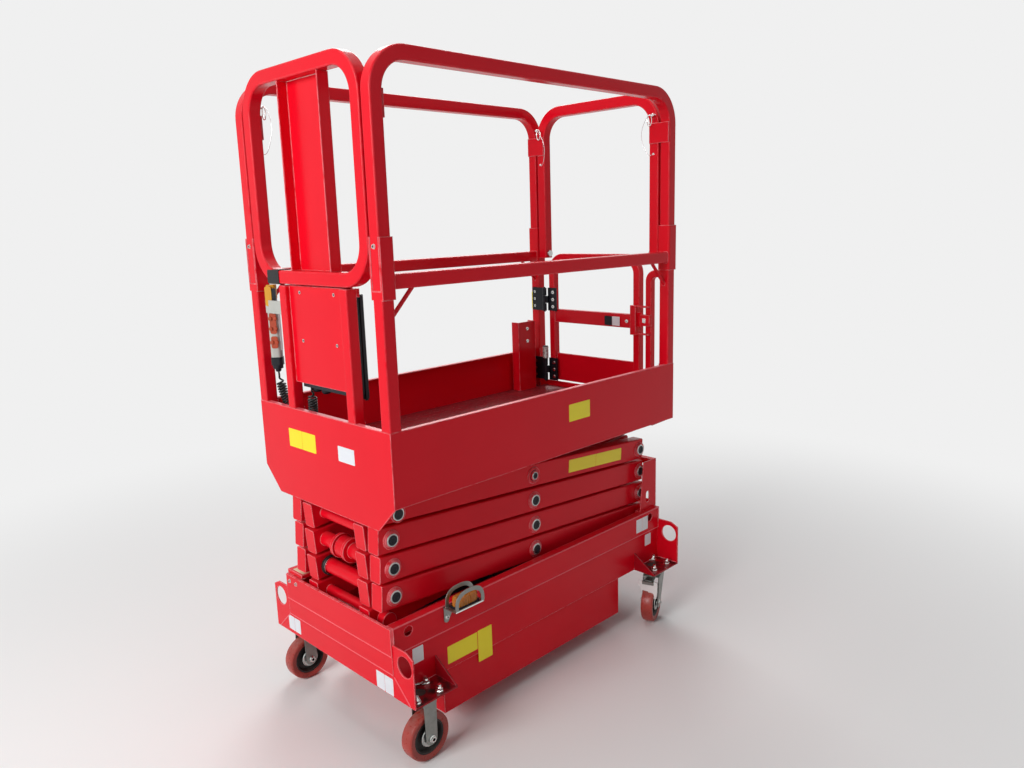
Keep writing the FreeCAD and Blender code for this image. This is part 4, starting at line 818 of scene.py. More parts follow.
def label(name: str, body: str, centre: Point, across: Point, up: Point,
          size: Pair, finish: Finish, panels: int = 1) -> None:
    """Stick a blank label film on a face.

    Args:
        name: Name of the piece.
        body: Body that carries it.
        centre: Middle of the film on the face.
        across: Direction of its width.
        up: Direction of its height, so that across x up looks out of the face.
        size: Width and height.
        finish: Film.
        panels: Number of equal films side by side.
    """
    piece = Piece(name)
    u = Vector(across).normalized()
    share = size[0] / panels
    for k in range(panels):
        spot = Vector(centre) + u * (share * (k + 0.5) - size[0] / 2)
        piece.slab(finish, rounded(share - 1.2 * MM, size[1], 2.5 * MM, 3), spot, across, up, 0.35 * MM)
    piece.done(body)


# Sub-assemblies


@dataclass
class Chassis:
    """Welded base frame with its caster seats, tub, step and warning lamp."""

    half_width: float = 288 * MM
    sheet_inset: float = 3 * MM
    deck_top: float = 213 * MM
    bolt_spread: Pair = mm(42, 31)
    bead: float = 2.2 * MM
    bands: tuple[Triple, ...] = mm((338, 423, 4), (280, 338, 2))
    rolled: float = 2.2 * MM
    lamp_tab: Pair = mm(-456, 385)
    lamp_x: float = -408 * MM
    lamp_y: Pair = mm(-345, -299)
    hoop: Triple = mm(58.5, 64, 13)
    lamp_base: float = 416 * MM
    lens_height: float = 38 * MM
    rib: float = 1.0 * MM
    rib_points: int = 72
    rib_samples: int = 720

    def build(self) -> None:
        """Dress the base frame and add what is fixed to it."""
        for node in ("chassis_sides", "chassis_end_plates", "belly_skirt", "slide_tracks", "entry_step",
                     "corner_bracket"):
            dress(node, RED)
        # Caster seats in the darker coat: painted shade.
        dress("caster_decks", SHADE_PAINTED_RED)
        dress("battery_and_pump", BLACK_NYLON, 3 * MM)
        self.end_bands()
        self.deck_bolts()
        self.deck_holes()
        self.bracket_bolts()
        self.welds()
        self.labels()
        self.lamp()

    def deck_bolts(self) -> None:
        """Four studs through each caster seat."""
        for joint in CASTER_JOINTS:
            x, y, _ = JOINTS[joint]["pos_m"]
            shift = -5 * MM if joint.startswith("front") else 0.0
            for dx in (-1, 1):
                for dy in (-1, 1):
                    place = (x + shift + dx * self.bolt_spread[0], y + dy * self.bolt_spread[1], self.deck_top)
                    BOLTS.add("chassis", M12_STUD, place, Z_AXIS)

    def end_bands(self) -> None:
        """Stepped bands on both end plates, and pale wires along the edges of bands and side rails and along the
        seam on each front wing, their colour a painted highlight.
        """
        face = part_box("chassis_end_plates")[1].x
        piece = Piece("end_bands")
        low = -self.half_width + 1 * MM
        for end in End:
            for z0, z1, thickness in self.bands:
                outline = [(low, z0), (-low, z0), (-low, z1), (low, z1)]
                piece.slab(RED, outline, (end.value * face, 0, 0), (0, end.value, 0), Z_AXIS, thickness)
        piece.done("chassis", 0.5 * MM)
        # Pale wires: painted highlight along the rolled edges and the wing seam.
        edges = Piece("rolled_edges")
        reach = face - 6 * MM
        for side in Side:
            y = side.value * (self.half_width - 0.6 * MM)
            for z in mm(340, 421.5):
                edges.drawn(HIGHLIGHT_PAINTED_RED, [Vector((-reach, y, z)), Vector((reach, y, z))], self.rolled, 10)
            wing = [Vector((-face, side.value * 289 * MM, 276 * MM)),
                    Vector((-face, side.value * 360 * MM, 211 * MM))]
            edges.drawn(HIGHLIGHT_PAINTED_RED, wing, self.rolled, 8)
        for end in End:
            for z, step in mm((338, 3), (280, 0.6)):
                x = end.value * (face + step)
                edges.drawn(HIGHLIGHT_PAINTED_RED, [Vector((x, low, z)), Vector((x, -low, z))], self.rolled, 8)
        edges.done("chassis")

    def deck_holes(self) -> None:
        """Dark disc with a raised rim standing for the hole in each caster seat, its dark colour painted shade, and
        the spring clip that lies beside it.
        """
        holes, clips = Piece("caster_seat_holes_painted_shade"), Piece("spring_clips")
        for joint in CASTER_JOINTS:
            x, y, _ = JOINTS[joint]["pos_m"]
            side, top = math.copysign(1, y), self.deck_top
            # Dark primer disc instead of a cut hole: painted shade.
            rim = mm((0, 0), (17, 0), (18.5, 0.5), (17, 0.9), (16, 0.3), (0, 0.25))
            holes.turned(CAST_IRON, rim, (x - 10 * MM, y - side * 4 * MM, top), Z_AXIS, 32)
            turn = Matrix.Rotation(math.radians(25 * side), 3, "Z")
            bends = [(-24, 0), (-8, -1), (2, 6), (10, 7), (16, 1), (10, -6), (2, -5), (-6, 2), (-16, 8)]
            spot = Vector((x + 22 * MM, y - side * 34 * MM, top + 1.7 * MM))
            wire = [spot + turn @ Vector((a, b, abs(a) * 0.12)) * MM for a, b in bends]
            clips.drawn(ZINC, wire, 1.6 * MM, 8)
        holes.done("chassis")
        clips.done("chassis")

    def bracket_bolts(self) -> None:
        """Two bolts of the corner bracket and one of the lamp's tab."""
        low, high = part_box("corner_bracket")
        for share in (0.26, 0.72):
            y = low.y + (high.y - low.y) * share
            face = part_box("chassis_end_plates")[0].x - self.bands[0][2]
            BOLTS.add("chassis", M6, (face, y, high.z - 34 * MM), -X_AXIS)
        BOLTS.add("chassis", M6, (self.lamp_tab[0], -self.half_width - 4 * MM, self.lamp_tab[1]), -Y_AXIS)

    def welds(self) -> None:
        """Fillet beads where the caster seats meet the body and the rails meet the end plates."""
        low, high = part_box("chassis_end_plates")
        inner = high.x - 5 * MM
        side_y = self.half_width - self.sheet_inset
        points: list[Vector] = []
        runs: list[tuple[int, int]] = []
        for end in End:
            for side in Side:
                x0, x1 = end.value * 500 * MM, end.value * inner
                y = side.value * (side_y + 1 * MM)
                corner = [Vector((x0, y, self.deck_top)), Vector((x1, y, self.deck_top))]
                wing = [Vector((x1, y + side.value * 4 * MM, self.deck_top + 1 * MM)),
                        Vector((x1, side.value * (high.y - 8 * MM), self.deck_top + 1 * MM))]
                rail = [Vector((x1, side.value * (self.half_width + 1 * MM), 342 * MM)),
                        Vector((x1, side.value * (self.half_width + 1 * MM), 420 * MM))]
                for run in (corner, wing, rail):
                    runs.append((len(points), len(points) + 1))
                    points += run
        patterned("chassis_weld_beads", Pattern.BEADS, points, [], "chassis", RED, runs,
                  Pitch=3.2 * MM, Bead_Radius=self.bead, Seed=7)

    def labels(self) -> None:
        """Blank films on the front plate, the near side and the rear end."""
        front, low_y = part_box("chassis_end_plates")[0].x, -self.half_width
        sheet_y = low_y + self.sheet_inset
        # Front films in the darker copy: painted shade against the key lamp's stronger light.
        for name, y, z, size in (("front_far_label", 264, 245, mm(75, 50)),
                                 ("front_near_label", -240, 237, mm(83, 55))):
            label(name, "chassis", (front, y * MM, z * MM), -Y_AXIS, Z_AXIS, size, PAINTED_DARKER_WHITE_FILM, 2)
        # Films in the brighter copies: painted light.
        for name, x, y, z, size, film, panels in (
                ("side_wide_label", -393.5, sheet_y, 253, mm(125, 58), YELLOW_FILM, 1),
                ("side_tall_label", -298.5, sheet_y, 230, mm(62, 108), YELLOW_FILM, 1),
                ("front_corner_label", -568, sheet_y, 306, mm(42, 50), WHITE_FILM, 1),
                ("rear_rail_label", 548, low_y, 381, mm(76, 54), WHITE_FILM, 2),
                ("rear_corner_label", 590, sheet_y, 306, mm(40, 46), WHITE_FILM, 1)):
            label(name, "chassis", (x * MM, y, z * MM), X_AXIS, Z_AXIS, size, film, panels)
        bracket_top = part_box("corner_bracket")[1].z
        label("bracket_label", "chassis", (*mm(-625, 237), bracket_top), X_AXIS, Y_AXIS, mm(46, 62), CREAM_FILM)

    def lamp(self) -> None:
        """Ribbed amber lens on a dark base, between two flat hoops on a bent bracket."""
        low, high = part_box("warning_lamp")
        middle = Vector(((low.x + high.x) / 2, (low.y + high.y) / 2, self.lamp_base + 2 * MM))
        lens = Piece("warning_lamp_lens")
        rings = []
        for grow, rise in ((0, 0), (0, 0.72), (-1.5, 0.86), (-4.5, 0.95), (-9, 1.0)):
            outline = self.ribbed((high.x - low.x + grow * MM) / 2, (high.y - low.y + grow * MM) / 2)
            rings.append([middle + spot + Z_AXIS * (self.lens_height * rise) for spot in outline])
        lens.skin(rings, AMBER, capped=True)
        lens.done("chassis", 0.0, ["warning_lamp"], "amber_lens", 24)
        base = Piece("warning_lamp_base")
        base.slab(BLACK_NYLON, rounded(high.x - low.x + 8 * MM, high.y - low.y + 6 * MM, 6 * MM), middle, X_AXIS,
                  Y_AXIS, 7 * MM)
        base.done("chassis", 0.8 * MM)
        self.cage()

    def ribbed(self, half_x: float, half_y: float) -> list[Vector]:
        """Outline of a rounded box whose faces stand in fine upright ribs.

        Args:
            half_x: Half of its length.
            half_y: Half of its width.

        Returns:
            As many evenly spaced points as the outline is to have.
        """
        count, samples = self.rib_points, self.rib_samples
        dense = [Vector((half_x * math.copysign(abs(math.cos(a)) ** 0.5, math.cos(a)),
                         half_y * math.copysign(abs(math.sin(a)) ** 0.5, math.sin(a)), 0.0))
                 for a in (math.pi * (k + 0.5) / (samples / 2) for k in range(samples))]
        steps = [(b - a).length for a, b in zip(dense, dense[1:] + dense[:1])]
        outline, walked = [], 0.0
        for k, (spot, step) in enumerate(zip(dense, steps)):
            if walked >= sum(steps) * len(outline) / count and len(outline) < count:
                out = (dense[(k + 1) % samples] - dense[k - 1]).cross(Z_AXIS).normalized()
                outline.append(spot + out * self.rib * (-1) ** len(outline))
            walked += step
        return outline

    def cage(self) -> None:
        """Two hoops cut from flat plate, the foot plate between them and the bolted tab."""
        half, height, band = self.hoop
        cage = Piece("lamp_hoops")
        for y in self.lamp_y:
            rings = []
            for dy, inset in ((-1.5 * MM, 0.0), (1.5 * MM, 0.0), (1.5 * MM, band), (-1.5 * MM, band)):
                ring = []
                for k in range(25):
                    angle = math.pi * k / 24
                    wide = half - inset
                    rise = (height - inset - 14 * MM) * abs(math.sin(angle)) ** 0.8
                    spread = math.copysign(abs(math.cos(angle)) ** 0.75, math.cos(angle))
                    ring.append((self.lamp_x + wide * spread, y + dy, self.lamp_base + 14 * MM + rise))
                for x in (-1, -0.9, 0.9, 1):
                    drop = inset * 0.5 if abs(x) < 1 else 7 * MM
                    ring.append((self.lamp_x + (half - inset) * x, y + dy, self.lamp_base + drop))
                rings.append(ring)
            cage.skin(rings, DULL_ZINC, True)
        low = self.lamp_base
        foot = [(self.lamp_x - half, self.lamp_y[0]), (self.lamp_x + half, self.lamp_y[0]),
                (self.lamp_x + half, -self.half_width), (self.lamp_x - half, -self.half_width)]
        cage.slab(DULL_ZINC, foot, (0, 0, low), X_AXIS, Y_AXIS, 4 * MM)
        for y in (self.lamp_y[0] - 1.5 * MM, self.lamp_y[1] + 2 * MM):
            cage.drawn(BRIGHT_ZINC, [Vector((self.lamp_x - half, y, low + 3 * MM)),
                                     Vector((self.lamp_x + half * 0.9, y, low + 3 * MM))], 2 * MM, 10)
        x0, tip = self.lamp_x - half, self.lamp_tab[1] - 18 * MM
        tab = [(x0, low + 4 * MM), (x0, low - 16 * MM)]
        tab += [(self.lamp_tab[0] - 1 * MM + 10 * MM * math.sin(a), tip + 10 * MM - 10 * MM * math.cos(a))
                for a in (math.radians(d) for d in range(-80, 81, 20))]
        tab += [(x0 + 40 * MM, low - 8 * MM), (x0 + 44 * MM, low + 4 * MM)]
        cage.slab(DULL_ZINC, tab, (0, -self.half_width, 0), X_AXIS, Z_AXIS, 4 * MM)
        cage.done("chassis", 0.6 * MM, ["lamp_cage"], "zinc_steel")


@dataclass
class Casters:
    """Two fixed and two swivel casters with polyurethane tyres."""

    tyre: float = 75 * MM
    rim: float = 54 * MM
    half_width: float = 23 * MM
    hub_plate: float = 30 * MM
    hub_half: float = 26.5 * MM
    bore: float = 6 * MM
    cheek: float = 28 * MM
    cheek_skin: float = 3.5 * MM
    cheek_round: float = 21 * MM
    fork_plate: Triple = mm(110, 86, 5)
    axle_seat: float = 32.5 * MM
    pedal_reach: float = 84 * MM
    pedal_half: float = 37 * MM
    swivel_deg: float = 20.0

    def build(self) -> None:
        """Dress forks and plates and turn the wheels."""
        self.fixed_forks()
        dress("swivel_plates", DULL_ZINC)
        for side in ("near", "far"):
            dress(f"swivel_fork_{side}", DULL_ZINC)
            self.pedal(side)
            self.wheel(f"front_wheel_{side}")
            self.wheel(f"rear_wheel_{side}")
            self.axle_bolts(side)

    def fixed_forks(self) -> None:
        """Pressed forks of the fixed casters: straight cheeks with round ends under a flat plate."""
        piece = Piece("fixed_forks")
        length, width, thickness = self.fork_plate
        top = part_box("front_forks")[1].z
        under, reach = top - thickness, -self.cheek - 3 * MM
        for side in ("near", "far"):
            x, y, z = JOINTS[f"front_wheel_{side}_spin"]["pos_m"]
            piece.slab(DULL_ZINC, rounded(length, width, 7 * MM), (x - 5 * MM, y, under), X_AXIS, Y_AXIS,
                       thickness)
            outline = [(30 * MM, under), (-30 * MM, under), (-23 * MM, top - 26 * MM)]
            outline += [(-self.cheek_round * math.cos(a), z - self.cheek_round * math.sin(a))
                        for a in (math.radians(d) for d in range(0, 181, 18))]
            outline += [(23 * MM, top - 26 * MM)]
            for start in (y - self.cheek, y + self.cheek + self.cheek_skin):
                piece.slab(DULL_ZINC, outline, (x, start, 0), X_AXIS, Z_AXIS, self.cheek_skin)
            piece.turned(ZINC, mirrored([(0, reach), (6 * MM, reach)]), (x, y, z), Y_AXIS, 20)
        piece.done("chassis", 0.9 * MM, ["front_forks"], "zinc_steel")

    def wheel(self, node: str) -> None:
        """Tyre, iron centre and bearing hub of one wheel.

        Args:
            node: CAD node of the wheel.
        """
        joint = JOINTS[f"{node}_spin"]
        centre, axis = joint["pos_m"], joint["axis"]
        t, r, w, plate = self.tyre, self.rim, self.half_width, self.hub_plate
        piece = Piece(f"{node}_turned")
        tread = [(r, -w + 4 * MM), (t - 12 * MM, -w), (t - 5 * MM, -w + 0.6 * MM), (t - 1.5 * MM, -w + 4 * MM),
                 (t - 0.2 * MM, -w + 10 * MM), (t, 0)]
        rim = [(r + 1 * MM, -w + 5 * MM), (r - 5 * MM, -w + 4 * MM), (r - 8 * MM, -w + 9 * MM),
               (r - 10 * MM, -5 * MM), mm(24, -6), (22 * MM, -w + 2 * MM), (14 * MM, -w + 2 * MM)]
        hub = [(self.bore + 1 * MM, -self.hub_half), (12 * MM, -self.hub_half), (13 * MM, -w - 1 * MM),
               (plate - 2 * MM, -w + 1 * MM), (plate, -w + 3 * MM), (plate - 5 * MM, -w + 5 * MM),
               (13 * MM, -w + 4 * MM)]
        for finish, half, steps in ((POLYURETHANE, tread, 72), (CAST_IRON, rim, 60), (ZINC, hub, 48)):
            piece.turned(finish, mirrored(half), centre, axis, steps, True)
        piece.done(BODY_OF[node], replaces=[node], slot="caster_tread")

    def axle_bolts(self, side: str) -> None:
        """Nut and head on each end of the axles.

        Args:
            side: Name of the machine's side.
        """
        for end in ("front", "rear"):
            joint = JOINTS[f"{end}_wheel_{side}_spin"]
            axis = Vector(joint["axis"])
            body = "chassis" if end == "front" else f"swivel_{side}"
            for way in (-1, 1):
                BOLTS.add(body, M10, Vector(joint["pos_m"]) + axis * way * self.axle_seat, axis * way)

    def pedal(self, side: str) -> None:
        """Brake pedal: a white stepped plate hung in front of the swivel wheel.

        Args:
            side: Name of the machine's side.
        """
        pivot = Vector(JOINTS[f"swivel_{side}_turn"]["pos_m"])
        turn = Matrix.Rotation(math.radians(self.swivel_deg), 3, "Z")
        half, reach = self.pedal_half, self.pedal_reach
        outline = [(-half, 158 * MM), (-half, 178 * MM), (half, 178 * MM), (half, 138 * MM),
                   (half - 5 * MM, 110 * MM),
                   mm(4, 110), mm(0, 136), (-half + 8 * MM, 140 * MM), (-half + 7 * MM, 158 * MM)]
        origin = Vector((pivot.x, pivot.y, 0)) + turn @ Vector((-reach, 0, 0))
        piece = Piece(f"brake_pedal_{side}")
        piece.slab(WHITE_ENAMEL, outline, origin, turn @ -Y_AXIS, Z_AXIS, 3 * MM)
        arm = turn @ Vector((-reach / 2 - 12 * MM, 0, 0)) + Vector((pivot.x, pivot.y, 0))
        strip = rounded(reach - 24 * MM, 26 * MM, 3 * MM, 3)
        piece.slab(DULL_ZINC, strip, arm + Vector((0, 0, 176 * MM)), turn @ X_AXIS, turn @ Y_AXIS, 4 * MM)
        piece.done(f"swivel_{side}", 0.8 * MM)


@dataclass
class ScissorStack:
    """Four levels of arms with their pivot pins and the lift cylinder."""

    levels: int = 4
    pivot_x: float = 602 * MM
    base_z: float = 399 * MM
    pitch: float = 88 * MM
    pin: float = 20 * MM
    small_pin: float = 13.5 * MM
    pin_end: float = 242 * MM
    pin_start: float = 165 * MM
    arm_label: Pair = mm(306, 46)
    label_x: float = 335 * MM
    arm_face: float = 233 * MM
    roller_end: float = 277 * MM
    eye_reach: float = 74 * MM

    def build(self) -> None:
        """Dress arms, pins, barrel and rod."""
        for level in range(1, self.levels + 1):
            dress(f"outer_arms_{level}", RED)
            dress(f"inner_arms_{level}", RED)
            self.pins(level)
        dress("lift_barrel", BLACK_ENAMEL)
        eye_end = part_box("lift_rod")[0].x + self.eye_reach
        dress("lift_rod", CHROME, 0.6 * MM, second=(RED, lambda spot: spot.x < eye_end))
        self.tube_ring()
        self.roller_ends()
        slope = Vector((2 * self.pivot_x, 0, -self.pitch)).normalized()
        middle_z = self.base_z + 3.5 * self.pitch - self.label_x * self.pitch / (2 * self.pivot_x)
        label("arm_caution_label", "outer_4", (self.label_x, -self.arm_face, middle_z), slope,
              Y_AXIS.cross(slope) * -1,
              self.arm_label, YELLOW_FILM, 2)

    def tube_ring(self) -> None:
        """Rubber lip and bright ring where the second level's cross tube meets the far arm."""
        piece = Piece("cross_tube_ring")
        spot = (-self.pivot_x, 96 * MM, self.base_z + self.pitch)
        lip = mm((25.5, 0), (31, 0), (33, 3), (33, 11), (31, 14), (25.5, 14))
        piece.turned(BLACK_RUBBER, lip, spot, Y_AXIS, 40, True)
        ring = mm((25.2, -2), (29, -2), (29, 0.2), (25.2, 0.2))
        piece.turned(CHROME, ring, spot, Y_AXIS, 40, True)
        piece.done("inner_2", 0.3 * MM)

    def roller_ends(self) -> None:
        """Ringed dark caps on the two rollers that carry the platform's front."""
        piece = Piece("platform_roller_caps")
        for side in Side:
            start = (-self.pivot_x, side.value * self.roller_end, self.base_z + self.levels * self.pitch)
            axis = (0, side.value, 0)
            piece.turned(ZINC, mm((0, 0), (20, 0), (19, 1.2), (0, 1.2)), start, axis, 36)
            piece.turned(BLACK_NYLON, mm((0, 1), (16, 1), (14, 3), (0, 3.4)), start, axis, 28)
        piece.done("outer_4", 0.3 * MM)

    def places(self, level: int) -> list[Pair]:
        """Pins that a level's inner pair carries.

        Args:
            level: Number of the level, from 1 at the bottom.

        Returns:
            X and height of each pin.
        """
        low = self.base_z + (level - 1) * self.pitch
        spots = [(0.0, low + self.pitch / 2)]
        if level > 1:
            spots.append((-self.pivot_x, low))
        if level < self.levels:
            spots.append((self.pivot_x, low + self.pitch))
        return spots

    def pins(self, level: int) -> None:
        """Bright pins, each with a collar and a dark plug in the end.

        Args:
            level: Number of the level, from 1 at the bottom.
        """
        piece = Piece(f"pivot_pins_{level}_turned")
        length = self.pin_end - self.pin_start
        for side in Side:
            for x, z in self.places(level):
                start = (x, side.value * self.pin_start, z)
                axis = (0, side.value, 0)
                r = self.small_pin if level == self.levels and not x else self.pin
                body = [(0, 0), (r, 0), (r, length - 1.2 * MM), (r - 1.2 * MM, length), (0.8 * r, length),
                        (0.78 * r, length - 2.5 * MM), (0, length - 2.5 * MM)]
                piece.turned(ZINC, body, start, axis, 36)
                collar = [(r - 0.5 * MM, length - 5.0 * MM), (r + 5 * MM, length - 5.0 * MM),
                          (r + 4 * MM, length - 2.6 * MM), (r - 0.5 * MM, length - 2.2 * MM)]
                piece.turned(RED, collar, start, axis, 36, True)
                plug = [(0, length - 2.4 * MM), (0.775 * r, length - 2.4 * MM), (0.75 * r, length - 0.2 * MM),
                        (0.4 * r, length), (0.35 * r, length - 1.6 * MM), (0, length - 1.8 * MM)]
                piece.turned(BLACK_NYLON, plug, start, axis, 28)
        piece.done(f"inner_{level}", replaces=[f"pivot_pins_{level}"], slot="zinc_steel")


@dataclass
class LockPins:
    """Ring pins of the folding end frames with their thin steel lanyards."""

    seat_x: float = 624.5 * MM
    pin_y: float = 284 * MM
    pin_z: float = 1912 * MM
    rivet: Triple = mm(625, 279, 1778)
    wire: float = 0.9 * MM
    steps: int = 12
    plate_x: float = 622.7 * MM
    plate_edge: float = 241 * MM
    plate_z: Pair = mm(1814, 1886)
    reach: float = 262 * MM

    def build(self) -> None:
        """Build a pin and a lanyard in each upper corner."""
        for end, body in ((End.FRONT, "front_loop"), (End.REAR, "rear_frame")):
            for side in Side:
                self.pin(end, side, body)

    def trim(self, shape: bmesh.types.BMesh) -> None:
        """Pull the inner edges of the lock plates out to their reach on the machine.

        Args:
            shape: Merged copy of an end frame.
        """
        for vert in shape.verts:
            x, y, z = (abs(c) for c in vert.co)
            if abs(x - self.plate_x) < 3 * MM and y < self.plate_edge and self.plate_z[0] < z < self.plate_z[1]:
                vert.co.y = math.copysign(self.reach, vert.co.y)

    def pin(self, end: End, side: Side, body: str) -> None:
        """One pin, its pull ring and its lanyard down to a rivet.

        Args:
            end: End of the machine.
            side: Side of the machine.
            body: Frame that carries them.
        """
        inward, out = -end.value, side.value
        seat = Vector((end.value * self.seat_x, out * self.pin_y, self.pin_z))
        tag = f"{end.name}_{side.name}".lower()
        piece = Piece(f"lock_pin_{tag}")
        head = mm((0, 0), (5.5, 0), (6, 3), (6, 16), (4, 19), (0, 19))
        piece.turned(BRIGHT_ZINC, head, seat, (inward, 0, 0), 24)
        hook = seat + Vector(mm(inward * 14, 0, 0))
        centre = hook + Vector(mm(inward * 3, -out * 12, -18))
        ring = [centre + Vector(mm(0, math.cos(a) * 10, math.sin(a) * 19)) for a in angles(32)]
        piece.drawn(BRIGHT_ZINC, ring, 1.9 * MM, 8, True)
        rivet = Vector((end.value * self.rivet[0], out * self.rivet[1], self.rivet[2]))
        button = mm((0, 0), (5, 0), (4, 2.6), (0, 3.4))
        piece.turned(BRIGHT_ZINC, button, rivet, (inward, 0, 0), 20)
        piece.done(body)
        self.lanyard(f"lanyard_{tag}", hook, rivet, inward, out, body)

    def lanyard(self, name: str, hook: Vector, rivet: Vector, inward: int, out: int, body: str) -> None:
        """Steel wire from a pin's hook down to its rivet, in a wide bow.

        Args:
            name: Name of the piece.
            hook: Where the wire leaves the pin.
            rivet: Seat of the rivet.
            inward: Sign of X towards the platform's middle.
            out: Sign of Y away from it.
            body: Frame that carries both ends.
        """
        start = hook + Vector(mm(inward * 2, 0, -2))
        stop = rivet + Vector(mm(inward * 4.5, 0, 0))
        middle = (start + stop) / 2
        bow = [start] + [base + Vector(mm(inward * x, -out * y, z)) for base, x, y, z in (
            (start, 10, 6, 10), (middle, 12, 40, 26), (middle, 8, 44, -18), (stop, 4, 18, -14))] + [stop]
        thing = strand(name, bow, self.wire, 2, self.steps, CHROME)
        length = travelled(traced(bow, self.steps))
        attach(thing, body)
        LOG.info("%s of %.0f mm on %s", name, length / MM, body)


PINS = LockPins()


@dataclass
class Platform:
    """Tray, deck and guard rails with their fasteners and labels."""

    deck_top: float = 850 * MM
    lug_pitch: float = 30 * MM
    lug: Triple = mm(20, 6, 2.4)
    lug_field: Pair = mm(592, 326)
    lug_bare: Pair = mm(470, 270)
    tray_length: float = 665 * MM
    tray_width: float = 347 * MM
    rim: float = 16 * MM
    rim_gap: float = 42 * MM
    front_rims: tuple[Pair, ...] = mm((-305, -183), (-145, 139), (177, 305))
    sleeve_bolt_z: float = 1500 * MM
    sleeve_bolt_y: float = 327 * MM

    def build(self) -> None:
        """Dress the tray, deck and rails."""
        for node in ("platform_tray", "platform_beams", "stub_bracket", "side_rails", "side_frame_near",
                     "side_frame_far", "gate_post"):
            dress(node, RED)
        dress("deck_plate", DECK_RED)
        self.tread()
        self.rims()
        self.sleeve_bolts()
        self.stub_bolts()
        self.labels()

    def tread(self) -> None:
        """Field of lugs on the deck, turned to and fro by half right angles, with its far rear corner bare."""
        places, facings = [], []
        columns, rows = (int(2 * reach / self.lug_pitch) for reach in self.lug_field)
        for i in range(columns + 1):
            for j in range(rows + 1):
                x = (i - columns / 2) * self.lug_pitch
                y = (j - rows / 2) * self.lug_pitch
                if x > self.lug_bare[0] and y > self.lug_bare[1]:
                    continue
                places.append(Vector((x, y, self.deck_top)))
                facings.append(Vector((1, 1 if (i + j) % 2 else -1, 0)).normalized())
        patterned("deck_tread_lugs", Pattern.LUGS, places, facings, "platform", DECK_RED, Lug=self.lug)

    def rims(self) -> None:
        """Tops of the folded rims, along both sides and on the front beside and between the panel posts, painted
        pale as a painted highlight.
        """
        piece = Piece("tray_rims")
        top, skin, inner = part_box("platform_tray")[1].z, 0.5 * MM, self.tray_width - self.rim
        reach = self.tray_length - self.rim_gap
        # Pale skins on the rim tops: painted highlight and painted reflection.
        for y in (-self.tray_width, inner):
            piece.block(HIGHLIGHT_PAINTED_RED, (-reach, y, top), (reach, y + self.rim, top + skin))
        for y0, y1 in self.front_rims:
            piece.block(HIGHLIGHT_PAINTED_RED, (-self.tray_length, y0, top), (-self.tray_length + self.rim, y1, top + skin))
        y0, y1 = self.front_rims[1]
        piece.block(RED, (-self.tray_length + 4 * MM, y0, top - 4 * MM), (-self.tray_length + self.rim, y1, top))
        piece.done("platform")

    def sleeve_bolts(self) -> None:
        """Bolts through the corner sleeves, on their end faces."""
        for end in End:
            for side in Side:
                place = (end.value * self.tray_length, side.value * self.sleeve_bolt_y, self.sleeve_bolt_z)
                BOLTS.add("platform", M6, place, X_AXIS * end.value)

    def stub_bolts(self) -> None:
        """Two bolts on the folded channel beside the far toe board."""
        low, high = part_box("stub_bracket")
        for height in (0.72, 0.9):
            z = low.z + (high.z - low.z) * height
            BOLTS.add("platform", M6, ((low.x + high.x) / 2, low.y, z), -Y_AXIS)

    def labels(self) -> None:
        """Blank films on the tray."""
        x, y = -self.tray_length, -self.tray_width
        # Front films in the darker copies, painted shade; the side film in the brighter copy, painted light.
        for name, centre, across, size, film, panels in (
                ("tray_front_caution_label", (x, *mm(107, 914)), -Y_AXIS, mm(153, 58), PAINTED_DARKER_YELLOW_FILM, 2),
                ("tray_front_plate_label", (x, *mm(-130, 910)), -Y_AXIS, mm(83, 46), PAINTED_DARKER_WHITE_FILM, 1),
                ("tray_side_caution_label", (111 * MM, y, 928 * MM), X_AXIS, mm(108, 58), YELLOW_FILM, 1)):
            label(name, "platform", centre, across, Z_AXIS, size, film, panels)


